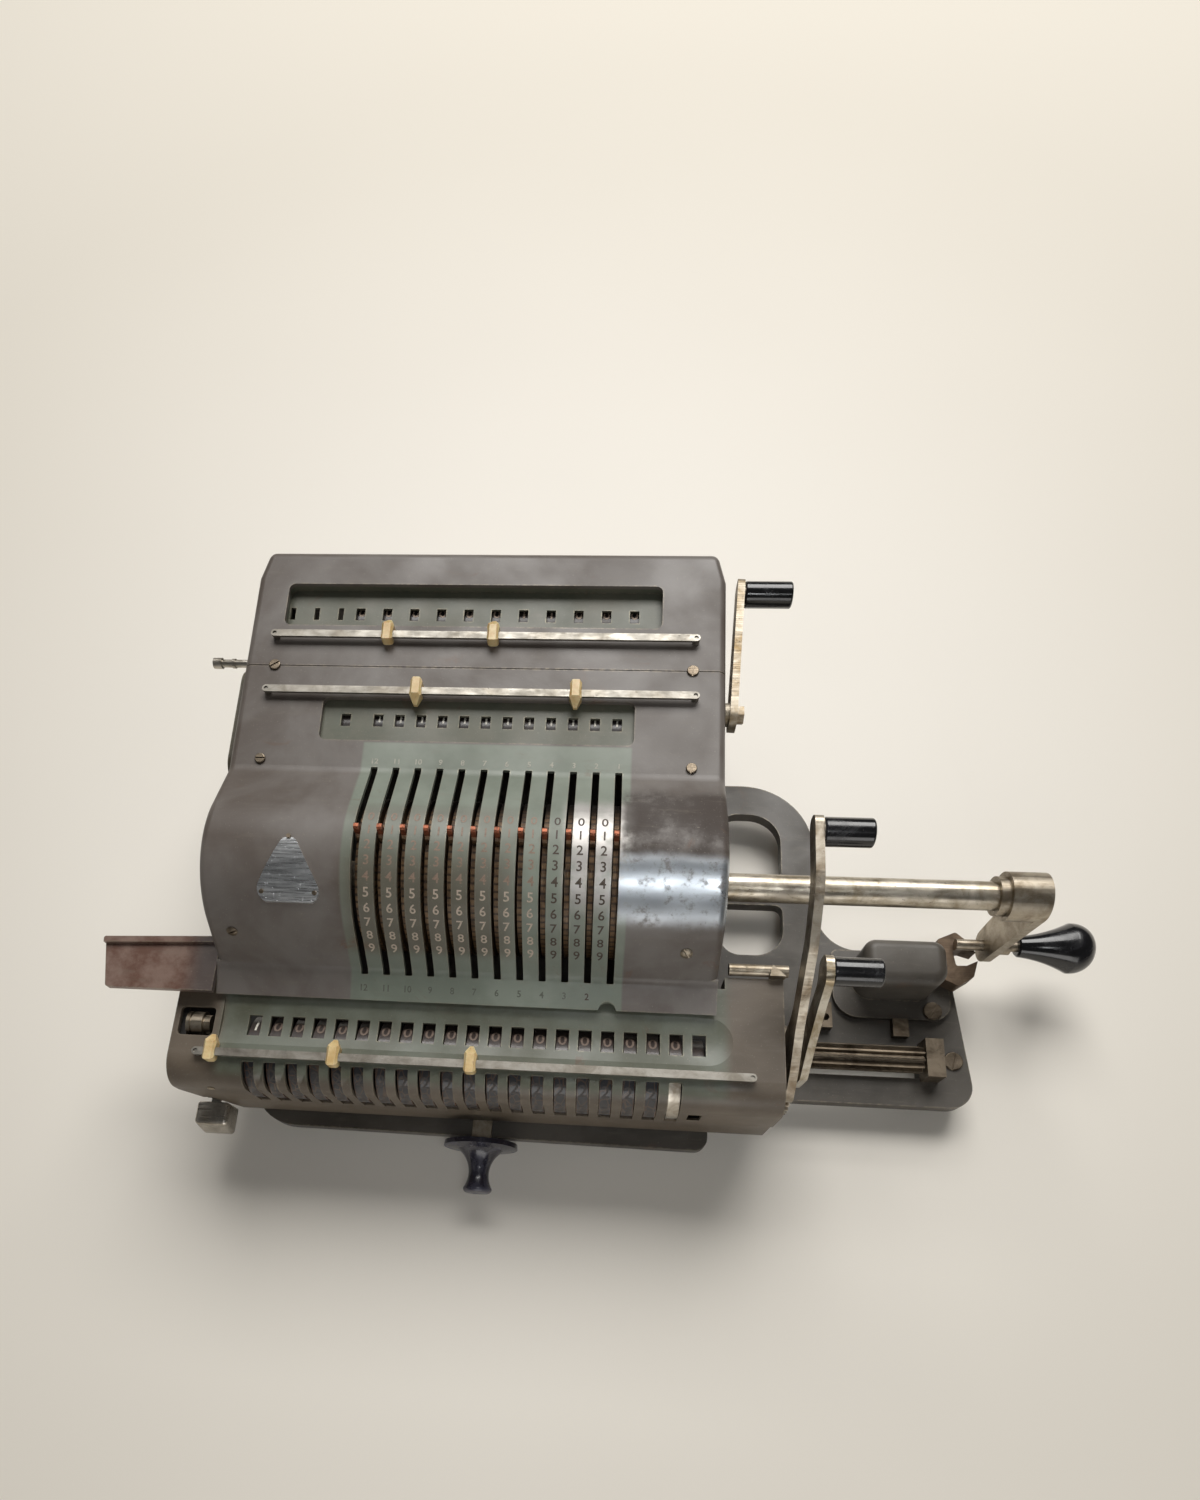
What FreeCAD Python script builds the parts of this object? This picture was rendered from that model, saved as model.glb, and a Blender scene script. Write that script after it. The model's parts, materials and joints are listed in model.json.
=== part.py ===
import FreeCAD, Part

# Pinwheel calculator: twelve setting columns, a shifting result carriage, counter and setting registers.
# Every piece is drawn in drum coordinates: X to the right from the middle of the housing, Y to the back and
# Z up from the drum axis. Placement carries it to the part's frame, whose origin is on the table.

import math
import os
from types import SimpleNamespace

import Sketcher

os.makedirs("parts", exist_ok=True)
doc = FreeCAD.newDocument("pinwheel_calculator")
sheet = doc.addObject("Spreadsheet::Sheet", "sizes")

SIZES = {
    # the drum axis in the part's frame
    "body_x": -64.176,
    "axis_y": -11.75,
    "axis_z": 86.0,
    # columns and clearances
    "column_pitch": 9.5,
    "column_count": 12,
    "first_column": 62.5,
    "digit_step": 9.74,
    "shaft_gap": 0.05,
    "free_gap": 0.3,
    # covers
    "cover_half": 107.0,
    "cover_wall": 1.8,
    "cover_round": 3.5,
    "drum_cover_radius": 38.35,
    "panel_slope": 4.0,
    "valley_y": 36.5,
    "valley_z": 26.8,
    "valley_round": 8.0,
    "apron_y": -44.5,
    "apron_z": -0.8,
    "apron_round": 5.0,
    "apron_end_y": -56.5,
    "apron_end_z": -5.0,
    "apron_notch": 3.8,
    "skirt_z": -3.0,
    "seam_y": 87.8,
    "seam_gap": 0.4,
    "rear_y": 151.0,
    "rear_round": 6.0,
    "rear_taper": 4.0,
    "rear_taper_run": 16.0,
    "rear_side_wall": 5.3,
    "slot_width": 3.0,
    "slot_rear_y": 38.3,
    "slot_front_y": -46.0,
    "slot_corner": 0.4,
    "notch_aside": 0.8,
    # windows in the panel, s being the distance up the panel from the valley
    "control_s": 26.0,
    "control_open_x": 68.3,
    "control_open_low": 14.7,
    "control_open_high": 35.6,
    "control_depth": 2.6,
    "counter_s": 82.6,
    "counter_open_left": -91.5,
    "counter_open_right": 79.0,
    "counter_open_low": 72.7,
    "counter_open_high": 94.7,
    "counter_depth": 5.4,
    "opening_round": 3.0,
    "tray_wall": 1.2,
    "tray_floor": 1.4,
    "control_window_x": 4.2,
    "control_window_s": 6.0,
    "control_first": 61.0,
    "sign_window": -58.0,
    "counter_window_x": 4.2,
    "counter_window_s": 6.4,
    "counter_first": 66.9,
    "counter_pitch": 12.54,
    "counter_count": 11,
    "narrow_window_x": 2.4,
    "narrow_pitch": 11.3,
    # base
    "base_top": -68.0,
    "base_thick": 7.0,
    "base_front": -100.0,
    "base_front_skew": 2.0,
    "base_front_round": 22.0,
    "base_corner_round": 6.0,
    "arm_rear_y": 93.0,
    "arm_outer_x": 165.0,
    "arm_outer_round": 36.0,
    "arm_inner_x": 148.5,
    "arm_web_low": 24.0,
    "arm_web_high": 38.0,
    "arm_hole_top": 76.0,
    "arm_hole_bottom": -3.5,
    "arm_hole_round": 16.0,
    "shelf_rear_y": 1.0,
    "shelf_right": 234.3,
    "shelf_slant": 8.0,
    "shelf_front_y": -76.0,
    "shelf_round": 11.0,
    "shelf_rear_round": 20.0,
    "foot_radius": 8.0,
    "foot_high": 11.0,
    # side frames
    "frame_thick": 3.5,
    "frame_front": -31.0,
    # crank and drum
    "shaft_radius": 6.15,
    "collar_start": 221.8,
    "collar_radius": 8.4,
    "hub_start": 225.7,
    "hub_radius": 10.5,
    "arm_plate_x": 237.6,
    "arm_plate": 4.0,
    "arm_throw": 53.0,
    "arm_tip": 8.0,
    "arm_tip_radius": 7.5,
    "peg_radius": 2.6,
    "peg_start": 225.5,
    "shank_radius": 2.6,
    "shoulder_radius": 4.2,
    "shoulder_long": 8.0,
    "handle_start": 253.2,
    "handle_long": 34.0,
    "handle_radius": 11.8,
    "handle_neck": 5.0,
    "disc_radius": 33.3,
    "disc_thick": 5.6,
    "boss_radius": 14.0,
    "disc_offset": 1.3,
    "drum_pin_radius": 1.0,
    "drum_pin_long": 14.0,
    "drum_pin_lift": 2.9,
    "drum_pin_count": 9,
    "drum_pin_first": 225.0,
    "lever_thick": 2.0,
    "lever_ring": 33.0,
    "lever_reach": 41.3,
    "lever_width": 4.6,
    "lever_tip": 2.8,
    "lever_tip_start": 35.5,
    "zero_angle": 77.34,
    "shown_digit": 1,
    # registers
    "spindle_radius": 3.0,
    "control_dial_radius": 11.0,
    "control_dial_wide": 6.0,
    "control_dial_drop": 15.5,
    "counter_dial_radius": 11.5,
    "counter_dial_wide": 7.6,
    "counter_dial_drop": 19.2,
    # carriage
    "carriage_left": -125.0,
    "carriage_right": 135.5,
    "carriage_wall": 1.5,
    "carriage_top": -8.5,
    "carriage_rear": -43.5,
    "carriage_block_rear": -38.3,
    "carriage_block_left": 111.0,
    "carriage_front": -95.0,
    "carriage_front_round": 12.0,
    "carriage_step_z": -39.5,
    "carriage_step": 1.0,
    "carriage_bottom": -64.0,
    "carriage_floor": -54.5,
    "floor_thick": 2.5,
    "channel_y": -67.0,
    "channel_radius": 34.0,
    "channel_depth": 1.6,
    "channel_left": -104.0,
    "channel_right": 104.0,
    "result_window_y": -68.6,
    "result_window_x": 5.6,
    "result_window_long": 9.2,
    "result_count": 21,
    "finger_slot": 5.4,
    "finger_slot_rear": -84.8,
    "finger_slot_corner": 0.8,
    "finger_slot_low": -40.0,
    "dial_y": -77.2,
    "dial_z": -28.5,
    "dial_radius": 18.2,
    "dial_wide": 5.0,
    "transfer_y": -47.0,
    "transfer_z": -33.0,
    "transfer_radius": 10.5,
    "transfer_wide": 2.4,
    "transfer_shift": 3.0,
    "carriage_corner_cut": 16.0,
    "carriage_corner_low": 42.0,
    "peep_left": -122.6,
    "peep_right": -107.0,
    "peep_rear": -61.7,
    "peep_front": -74.5,
    "rail_radius": 2.5,
    "rail_front_y": -86.0,
    "rail_rear_y": -44.0,
    "rail_z": -61.0,
    "rail_post": 4.0,
    "lug_wide": 8.0,
    "lug_left": -40.0,
    "lug_right": 44.0,
    "link_rod_radius": 2.6,
    "link_rod_y": -35.0,
    "link_rod_z": -7.2,
    # clearing gear on the carriage's right end
    "gear_module": 1.0,
    "sector_teeth": 40,
    "pinion_teeth": 11,
    "pinion_y": -55.0,
    "pinion_z": -63.0,
    "hub_z": -41.0,
    "pinion_left": 99.0,
    "pinion_right": 209.0,
    "journal_long": 8.0,
    "long_lever_thick": 3.5,
    "short_lever_thick": 3.2,
    "grip_radius": 5.75,
    "clearing_grip_long": 19.0,
    "counter_grip_long": 21.0,
    "grip_core": 4.0,
    "grip_bottom": 4.0,
    "stud_radius": 3.0,
    # counter clearing lever
    "counter_lever_lean": 3.0,
    "counter_lever_thick": 3.2,
    "counter_pivot_y": 73.2,
    "counter_pivot_z": 20.0,
    "counter_grip_y": 134.5,
    "counter_grip_z": 25.0,
    # pointer bars
    "bar_wide": 3.4,
    "bar_thick": 1.2,
    "bar_lift": 2.4,
    "lower_bar_s": 37.4,
    "upper_bar_s": 65.8,
    "carriage_bar_y": -82.2,
    "carriage_bar_left": -111.4,
    "carriage_bar_right": 121.5,
    "pointer_wide": 5.5,
    "pointer_long": 11.8,
    "pointer_tip": 4.0,
    "pointer_cap": 1.7,
    "pointer_gap": 0.12,
    "upper_reach": 8.3,
    "lower_reach": 6.1,
    "carriage_reach": 7.9,
    # screws
    "screw_head": 2.6,
    "screw_head_high": 0.9,
    "screw_shank": 1.25,
    "screw_long": 5.0,
    "screw_slot": 0.7,
    # plate left of the housing
    "guard_reach": 159.0,
    "guard_rear": -32.5,
    "guard_front": -57.0,
    "guard_thick": 2.6,
    "guard_lip": 2.0,
    # crank stop on the shelf
    "housing_left": 180.0,
    "housing_right": 217.3,
    "housing_front": -25.0,
    "housing_rear": -3.0,
    "housing_top": -40.0,
    "housing_round": 5.0,
    "flange_thick": 3.0,
    "flange_left": 170.6,
    "flange_right": 225.5,
    "flange_front": -34.5,
    "catch_gap": 0.8,
    "shelf_screw": 4.4,
    # bearing and stop blocks
    "end_block": 8.1,
    "inner_block": 4.0,
    "stop_block_high": 4.0,
    "slotted_block_high": 5.0,
    # selector pin, shift key and release key
    "selector_y": 100.5,
    "selector_z": 15.0,
    "selector_radius": 1.8,
    "selector_out": 18.0,
    "valley_screw_s": 4.5,
    "knob_x": 6.0,
    "knob_z": -66.2,
    "knob_flange": 17.2,
    "knob_start": -104.4,
    "knob_end": -127.5,
    "key_thick": 2.4,
    "key_half": 4.5,
    "key_pivot_y": -78.5,
    "key_pivot_radius": 2.0,
    "key_stem": 2.2,
    "release_pivot_y": -78.0,
    "release_pivot_z": -56.2,
    "release_pin": 0.9,
    "release_left": -127.4,
    "release_right": -111.6,
    # roller behind the carriage's corner opening
    "roller_y": -68.0,
    "roller_z": -14.4,
    "roller_radius": 5.6,
}

for row, (name, value) in enumerate(SIZES.items(), 1):
    sheet.set(f"A{row}", name)
    sheet.set(f"B{row}", str(value))
    sheet.setAlias(f"B{row}", name)
# sizes that follow from the others, as formulas in the same sheet
FITS = {
    "frame_outer": "cover_half - rear_side_wall - free_gap",
    "base_left": "-cover_half",
    "base_right": "cover_half + 4",
    "seam_screw_x": "cover_half - 14.3",
    "bar_half": "cover_half - 13.3",
    "rail_half": "cover_half - 1",
    "counter_lever_x": "cover_half + 2.3",
    "long_lever_x": "carriage_right + 2.5",
    "short_lever_x": "long_lever_x + long_lever_thick + 3.5",
    "catch_low": "base_top + flange_thick",
}
for row, (name, formula) in enumerate(FITS.items(), len(SIZES) + 1):
    sheet.set(f"A{row}", name)
    sheet.set(f"B{row}", "=" + formula)
    sheet.setAlias(f"B{row}", name)
doc.recompute()
NAMES = [*SIZES, *FITS]
S = SimpleNamespace(**{name: sheet.get(name) for name in NAMES})

AXIS_X = FreeCAD.Vector(1, 0, 0)
AXIS_Y = FreeCAD.Vector(0, 1, 0)
AXIS_Z = FreeCAD.Vector(0, 0, 1)
pieces = []


# ---------------------------------------------------------------- document helpers

def bind(target, **expressions):
    """Tie properties to sheet cells: Length='plate_thick', Placement_Base_x='body_x' and so on."""
    for prop, expression in expressions.items():
        text = expression
        for name in sorted(NAMES, key=len, reverse=True):
            text = replace_word(text, name, "sizes." + name)
        target.setExpression(prop.replace("_", "."), text)


def replace_word(text, word, new):
    out, at = "", 0
    while True:
        hit = text.find(word, at)
        if hit < 0:
            return out + text[at:]
        before = text[hit - 1] if hit else " "
        after = text[hit + len(word):hit + len(word) + 1] or " "
        whole = not (before.isalnum() or before in "_.") and not (after.isalnum() or after == "_")
        out += text[at:hit] + (new if whole else word)
        at = hit + len(word)


def finish(thing, label, tilted=False):
    """Name a piece and carry it from drum coordinates, or panel coordinates, to the part's frame."""
    thing.Label = label
    bind(thing, Placement_Base_x="body_x")
    if tilted:
        thing.Placement.Rotation = FreeCAD.Rotation(AXIS_X, S.panel_slope)
        bind(thing, Placement_Base_y="axis_y + valley_y", Placement_Base_z="axis_z + valley_z")
    else:
        bind(thing, Placement_Base_y="axis_y", Placement_Base_z="axis_z")
    pieces.append(thing)
    return thing


def solid_piece(label, shape, tilted=False):
    thing = doc.addObject("Part::Feature", label)
    thing.Shape = shape
    return finish(thing, label, tilted)


def new_body(label):
    body = doc.addObject("PartDesign::Body", label)
    doc.recompute()
    return body


def sketch_on(body, plane, at="0"):
    """A sketch on one of the body's own origin planes, moved along its normal by a sheet expression."""
    sketch = body.newObject("Sketcher::SketchObject", body.Name + "_sketch")
    support = [item for item in body.Origin.OriginFeatures if item.Role == plane + "_Plane"][0]
    sketch.AttachmentSupport = [(support, "")]
    sketch.MapMode = "FlatFace"
    bind(sketch, AttachmentOffset_Base_z=at)
    return sketch


def corner_arc(here, before, after, radius):
    """Start, middle and end of the arc that rounds the corner between two neighbouring points."""
    towards_before = (before - here).normalize()
    towards_after = (after - here).normalize()
    half = towards_before.getAngle(towards_after) / 2
    reach = radius / math.tan(half)
    middle = here + (towards_before + towards_after).normalize() * (radius / math.sin(half) - radius)
    return here + towards_before * reach, middle, here + towards_after * reach


def outline(points):
    """Lines and tangent arcs through points (u, v) or (u, v, corner radius), as a closed list of edges."""
    corners = []
    count = len(points)
    for index, point in enumerate(points):
        here = FreeCAD.Vector(point[0], point[1], 0)
        radius = point[2] if len(point) > 2 else 0
        before = FreeCAD.Vector(*points[index - 1][:2], 0)
        after = FreeCAD.Vector(*points[(index + 1) % count][:2], 0)
        corners.append(corner_arc(here, before, after, radius) if radius > 0 else (here, None, here))
    edges = []
    for index, (start, middle, end) in enumerate(corners):
        if middle is not None:
            edges.append(Part.Arc(start, middle, end))
        following = corners[(index + 1) % count][0]
        if (following - end).Length > 1e-6:
            edges.append(Part.LineSegment(end, following))
    return edges


def closed_path(*stretches):
    """Edges through stretches: a point joins by a line, a pair of points is an arc's middle and end."""
    edges = []
    start = FreeCAD.Vector(*stretches[0], 0)
    here = start
    for stretch in stretches[1:]:
        if isinstance(stretch[0], tuple):
            middle = FreeCAD.Vector(*stretch[0], 0)
            end = FreeCAD.Vector(*stretch[1], 0)
            edges.append(Part.Arc(here, middle, end))
        else:
            end = FreeCAD.Vector(*stretch, 0)
            edges.append(Part.LineSegment(here, end))
        here = end
    if (start - here).Length > 1e-6:
        edges.append(Part.LineSegment(here, start))
    return edges


def rectangle(x0, x1, y0, y1, radius=0.0):
    """A rectangle with rounded corners, as edges."""
    return outline([(x0, y0, radius), (x1, y0, radius), (x1, y1, radius), (x0, y1, radius)])


def draw(sketch, edges):
    sketch.addGeometry(edges, False)


def draw_circle(sketch, u, v, radius, radius_size=None):
    index = sketch.addGeometry(Part.Circle(FreeCAD.Vector(u, v, 0), AXIS_Z, radius), False)
    if radius_size:
        number = sketch.addConstraint(Sketcher.Constraint("Radius", index, radius))
        bind(sketch, **{f"Constraints[{number}]": radius_size})


def pad(body, sketch, length):
    feature = body.newObject("PartDesign::Pad", body.Name + "_pad")
    feature.Profile = sketch
    bind(feature, Length=length)
    doc.recompute()
    return feature


def pocket(body, sketch, length, reverse=True):
    """Cut along the sketch's normal; the volume must go down."""
    before = body.Shape.Volume
    feature = body.newObject("PartDesign::Pocket", body.Name + "_pocket")
    feature.Profile = sketch
    feature.Reversed = reverse
    bind(feature, Length=length)
    doc.recompute()
    if not body.Shape.Volume < before:
        raise RuntimeError(f"{body.Name}: a pocket removed nothing")
    return feature


def round_edges(body, base, wanted, radius):
    names = [f"Edge{number}" for number, edge in enumerate(base.Shape.Edges, 1) if wanted(edge)]
    feature = body.newObject("PartDesign::Fillet", body.Name + "_round")
    feature.Base = (base, names)
    bind(feature, Radius=radius)
    doc.recompute()
    return feature


# ---------------------------------------------------------------- plain shapes

def block(x0, x1, y0, y1, z0, z1):
    return Part.makeBox(x1 - x0, y1 - y0, z1 - z0, FreeCAD.Vector(x0, y0, z0))


def rod(radius, x0, x1, y=0.0, z=0.0):
    return Part.makeCylinder(radius, x1 - x0, FreeCAD.Vector(x0, y, z), AXIS_X)


def post(radius, x, y, z0, z1):
    return Part.makeCylinder(radius, z1 - z0, FreeCAD.Vector(x, y, z0), AXIS_Z)


def along_x(edges, x0, x1):
    """A prism whose outline is given in (y, z) and which runs from x0 to x1."""
    face = Part.Face(Part.Wire(Part.__sortEdges__([edge.toShape() for edge in edges])))
    face.transformShape(FreeCAD.Matrix(0, 0, 1, x0, 1, 0, 0, 0, 0, 1, 0, 0, 0, 0, 0, 1))
    return face.extrude(FreeCAD.Vector(x1 - x0, 0, 0))


def up_z(edges, z0, z1):
    face = Part.Face(Part.Wire(Part.__sortEdges__([edge.toShape() for edge in edges])))
    face.translate(FreeCAD.Vector(0, 0, z0))
    return face.extrude(FreeCAD.Vector(0, 0, z1 - z0))


def ring(outer, inner, x0, x1, y=0.0, z=0.0):
    return rod(outer, x0, x1, y, z).cut(rod(inner, x0 - 1, x1 + 1, y, z))


def laid_on_panel(shape):
    """From panel coordinates, where Y runs up the panel and Z out of it, to drum coordinates."""
    return moved(turned(shape, S.panel_slope), 0, S.valley_y, S.valley_z)


def turned(shape, degrees, y=0.0, z=0.0):
    copy = shape.copy()
    copy.rotate(FreeCAD.Vector(0, y, z), AXIS_X, degrees)
    return copy


def moved(shape, x=0.0, y=0.0, z=0.0):
    copy = shape.copy()
    copy.translate(FreeCAD.Vector(x, y, z))
    return copy


# ---------------------------------------------------------------- layout worked out from the sizes

SLOPE = math.radians(S.panel_slope)
PANEL = (math.cos(SLOPE), math.sin(SLOPE))
COLUMNS = [S.first_column - S.column_pitch * k for k in range(int(S.column_count))]
RESULT_X = [S.first_column + S.column_pitch * (4 - j) for j in range(int(S.result_count))]
CONTROL_X = [S.control_first - S.column_pitch * k for k in range(int(S.column_count))]
COUNTER_X = [S.counter_first - S.counter_pitch * k for k in range(int(S.counter_count))]
SECTOR_PITCH = S.gear_module * S.sector_teeth / 2
PINION_PITCH = S.gear_module * S.pinion_teeth / 2
HUB_Y = S.pinion_y - math.sqrt((SECTOR_PITCH + PINION_PITCH) ** 2 - (S.hub_z - S.pinion_z) ** 2)
SEAM_S = (S.seam_y - S.valley_y) / PANEL[0]
SHAFT_LEFT = -(S.frame_outer + 1.5)
HOUSING_SCREW = (S.housing_right - 0.7, S.housing_front - 5.0)
SHELF_SCREW = (S.shelf_right - 9.0, S.pinion_y + 1.5)


def panel_z(y, drop=0.0):
    """Height of the panel's surface, or of a surface that lies drop below it, above the place y."""
    return S.valley_z + (y - S.valley_y) * PANEL[1] / PANEL[0] - drop / PANEL[0]


def on_panel(s, drop=0.0):
    """The (y, z) of a place s up the panel and drop below its surface."""
    return (S.valley_y + s * PANEL[0] + drop * PANEL[1], S.valley_z + s * PANEL[1] - drop * PANEL[0])


def tangent_angle(y, z, radius, side):
    """Polar angle at which a line from (y, z) touches the circle about the drum axis."""
    return math.atan2(z, y) + side * math.acos(radius / math.hypot(y, z))


def polar(radius, angle):
    return (radius * math.cos(angle), radius * math.sin(angle))


def line_meets(point_a, way_a, point_b, way_b):
    cross = way_a[0] * way_b[1] - way_a[1] * way_b[0]
    gap = (point_b[0] - point_a[0], point_b[1] - point_a[1])
    run = (gap[0] * way_b[1] - gap[1] * way_b[0]) / cross
    return (point_a[0] + way_a[0] * run, point_a[1] + way_a[1] * run)


REAR_TANGENT = tangent_angle(S.valley_y, S.valley_z, S.drum_cover_radius, 1)
FRONT_TANGENT = tangent_angle(S.apron_y, S.apron_z, S.drum_cover_radius, -1) % (2 * math.pi)
APRON_RUN = math.hypot(S.apron_end_y - S.apron_y, S.apron_end_z - S.apron_z)
APRON_WAY = ((S.apron_end_y - S.apron_y) / APRON_RUN, (S.apron_end_z - S.apron_z) / APRON_RUN)


def hump(inset):
    """The drum cover's line set in by a distance: valley corner, arc over the drum, front line."""
    radius = S.drum_cover_radius - inset
    rear_touch = polar(radius, REAR_TANGENT)
    rear_way = (-math.sin(REAR_TANGENT), math.cos(REAR_TANGENT))
    valley = line_meets(rear_touch, rear_way, (S.valley_y, panel_z(S.valley_y, inset)), PANEL)
    top = polar(radius, (REAR_TANGENT + FRONT_TANGENT) / 2)
    front_touch = polar(radius, FRONT_TANGENT)
    front_way = (-math.sin(FRONT_TANGENT), math.cos(FRONT_TANGENT))
    return SimpleNamespace(valley=valley, rear_touch=rear_touch, top=top, front_touch=front_touch,
                           front_way=front_way, radius=radius)


def rounded_turn(corner, before, after, radius):
    """The same arc as corner_arc, for plain (y, z) pairs."""
    points = [FreeCAD.Vector(*point, 0) for point in (corner, before, after)]
    return [(point.x, point.y) for point in corner_arc(*points, radius)]


def front_cover_outline():
    """The housing's line without its apron: seam, valley, drum cover and the straight front."""
    line = hump(0.0)
    seam = (S.seam_y - S.seam_gap / 2, panel_z(S.seam_y - S.seam_gap / 2))
    bend = rounded_turn(line.valley, seam, line.rear_touch, S.valley_round)
    front = line_meets(line.front_touch, line.front_way, (0, S.skirt_z), (1, 0))
    return closed_path(seam, bend[0], (bend[1], bend[2]), line.rear_touch, (line.top, line.front_touch),
                       front, (seam[0], S.skirt_z))


def apron_outline():
    """The lip that runs forward from the foot of the drum cover; its root lies inside the cover's wall."""
    line = hump(0.0)
    apron = (S.apron_y, S.apron_z)
    apron_end = (S.apron_end_y, S.apron_end_z)
    foot = rounded_turn(apron, line.front_touch, apron_end, S.apron_round)
    under = (apron_end[0] - APRON_WAY[1] * S.cover_wall, apron_end[1] + APRON_WAY[0] * S.cover_wall)
    root = line_meets(under, APRON_WAY, (0, S.skirt_z), (1, 0))
    front = line_meets(line.front_touch, line.front_way, (0, S.skirt_z), (1, 0))
    inside = S.cover_wall / 2
    return closed_path(foot[0], (foot[1], foot[2]), apron_end, under, root, (front[0] + inside, S.skirt_z),
                       (foot[0][0] + inside, foot[0][1]))


def inside_outline(inset, rear, low):
    """The line under the covers, from its rear end over the drum to the front, closed along the bottom."""
    line = hump(inset)
    start = (rear, panel_z(rear, inset))
    front = line_meets(line.front_touch, line.front_way, (0, low), (1, 0))
    return closed_path(start, line.valley, line.rear_touch, (line.top, line.front_touch), front, (rear, low))


# ---------------------------------------------------------------- base

def make_base_plate():
    body = new_body("base_plate")
    sketch = sketch_on(body, "XY", "base_top - base_thick")
    draw(sketch, outline([
        (S.base_left, S.rear_y - 2, S.base_corner_round),
        (S.base_left, S.base_front, S.base_front_round),
        (S.base_right, S.base_front - S.base_front_skew, S.base_corner_round),
        (S.base_right, S.shelf_front_y, 1.5),
        (S.shelf_right, S.shelf_front_y, S.shelf_round),
        (S.shelf_right - S.shelf_slant, S.shelf_rear_y, 3.0),
        (S.arm_outer_x, S.shelf_rear_y, S.shelf_rear_round),
        (S.arm_outer_x, S.arm_rear_y, S.arm_outer_round),
        (S.base_right, S.arm_rear_y, 1.5),
        (S.base_right, S.rear_y - 2, S.base_corner_round),
    ]))
    pad(body, sketch, "base_thick")
    for low, high in ((S.arm_hole_bottom, S.arm_web_low), (S.arm_web_high, S.arm_hole_top)):
        upper = low == S.arm_web_high
        far_round = S.arm_hole_round if upper else 4.0
        near_round = 4.0 if upper else S.arm_hole_round * 0.9
        sketch = sketch_on(body, "XY", "base_top - base_thick")
        draw(sketch, outline([
            (S.base_right + 6, low, min(near_round, 10.0)),
            (S.arm_inner_x, low, near_round),
            (S.arm_inner_x, high, far_round),
            (S.base_right + 6, high, min(far_round, 10.0)),
        ]))
        pocket(body, sketch, "base_thick")
    margin = PINION_PITCH + S.gear_module + 1.0
    sketch = sketch_on(body, "XY", "base_top - base_thick")
    draw(sketch, outline([
        (S.pinion_left - 2, S.pinion_y - margin), (S.pinion_right + 0.5, S.pinion_y - margin),
        (S.pinion_right + 0.5, S.pinion_y + margin), (S.pinion_left - 2, S.pinion_y + margin),
    ]))
    for place in (HOUSING_SCREW, SHELF_SCREW):
        draw_circle(sketch, *place, S.screw_shank, "screw_shank")
    pocket(body, sketch, "base_thick")
    finish(body, "base_plate")


FOOT_PLACES = [(S.base_left + 12, S.base_front + 15), (S.base_right - 16, S.base_front + 12),
               (S.base_left + 14, S.rear_y - 18), (S.base_right - 16, S.rear_y - 18),
               (S.shelf_right - 10.8, S.shelf_front_y + 22.5)]


def make_feet():
    top = S.base_top - S.base_thick
    feet = []
    for x, y in FOOT_PLACES:
        foot = post(S.foot_radius, x, y, top - S.foot_high, top)
        low_rim = [edge for edge in foot.Edges if abs(edge.BoundBox.ZMax - (top - S.foot_high)) < 1e-6]
        feet.append(foot.makeFillet(S.foot_radius * 0.2, low_rim[:1]))
    solid_piece("rubber_feet", Part.makeCompound(feet))


def make_side_frame(label, x0):
    body = new_body(label)
    sketch = sketch_on(body, "YZ", x0)
    inset = S.cover_wall + S.free_gap
    rear = S.rear_y - S.cover_wall - S.free_gap
    line = hump(inset)
    start = math.acos(S.frame_front / line.radius)
    middle = polar(line.radius, (start + REAR_TANGENT) / 2)
    corner = rounded_turn((rear, panel_z(rear, inset)), line.valley, (rear, S.base_top), S.rear_round)
    draw(sketch, closed_path((S.frame_front, S.base_top), polar(line.radius, start),
                             (middle, line.rear_touch), line.valley, corner[0], (corner[1], corner[2]),
                             (rear, S.base_top)))
    pad(body, sketch, "frame_thick")
    sketch = sketch_on(body, "YZ", x0)
    draw_circle(sketch, 0, 0, S.shaft_radius + S.shaft_gap, "shaft_radius + shaft_gap")
    for drop, s in ((S.control_dial_drop, S.control_s), (S.counter_dial_drop, S.counter_s)):
        draw_circle(sketch, *on_panel(s, drop), S.spindle_radius + S.shaft_gap, "spindle_radius + shaft_gap")
    if label.endswith("right"):
        draw_circle(sketch, S.counter_pivot_y, S.counter_pivot_z, S.stud_radius + S.shaft_gap,
                    "stud_radius + shaft_gap")
    else:
        draw_circle(sketch, S.selector_y, S.selector_z, S.selector_radius + S.shaft_gap,
                    "selector_radius + shaft_gap")
    pocket(body, sketch, "frame_thick")
    sketch = sketch_on(body, "YZ", x0)
    draw(sketch, outline([(0, -58, 8), (50, -58, 8), (38, -12, 8), (14, -12, 8)]))
    draw(sketch, outline([(64, -58, 8), (138, -58, 8), (138, -6, 8), (52, -6, 8)]))
    pocket(body, sketch, "frame_thick")
    finish(body, label)


# ---------------------------------------------------------------- covers

def front_rounded_edges(edge):
    """Edges of the two sides that follow the top line."""
    box = edge.BoundBox
    on_side = box.XLength < 1e-4 and abs(abs(box.XMin) - S.cover_half) < 1e-4
    return on_side and box.ZMax > S.skirt_z + 1 and box.YLength > 1e-4


def cover_hole(body, plane, at, length, holes):
    sketch = sketch_on(body, plane, at)
    for u, v, radius in holes:
        draw_circle(sketch, u, v, radius)
    pocket(body, sketch, length)


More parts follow.
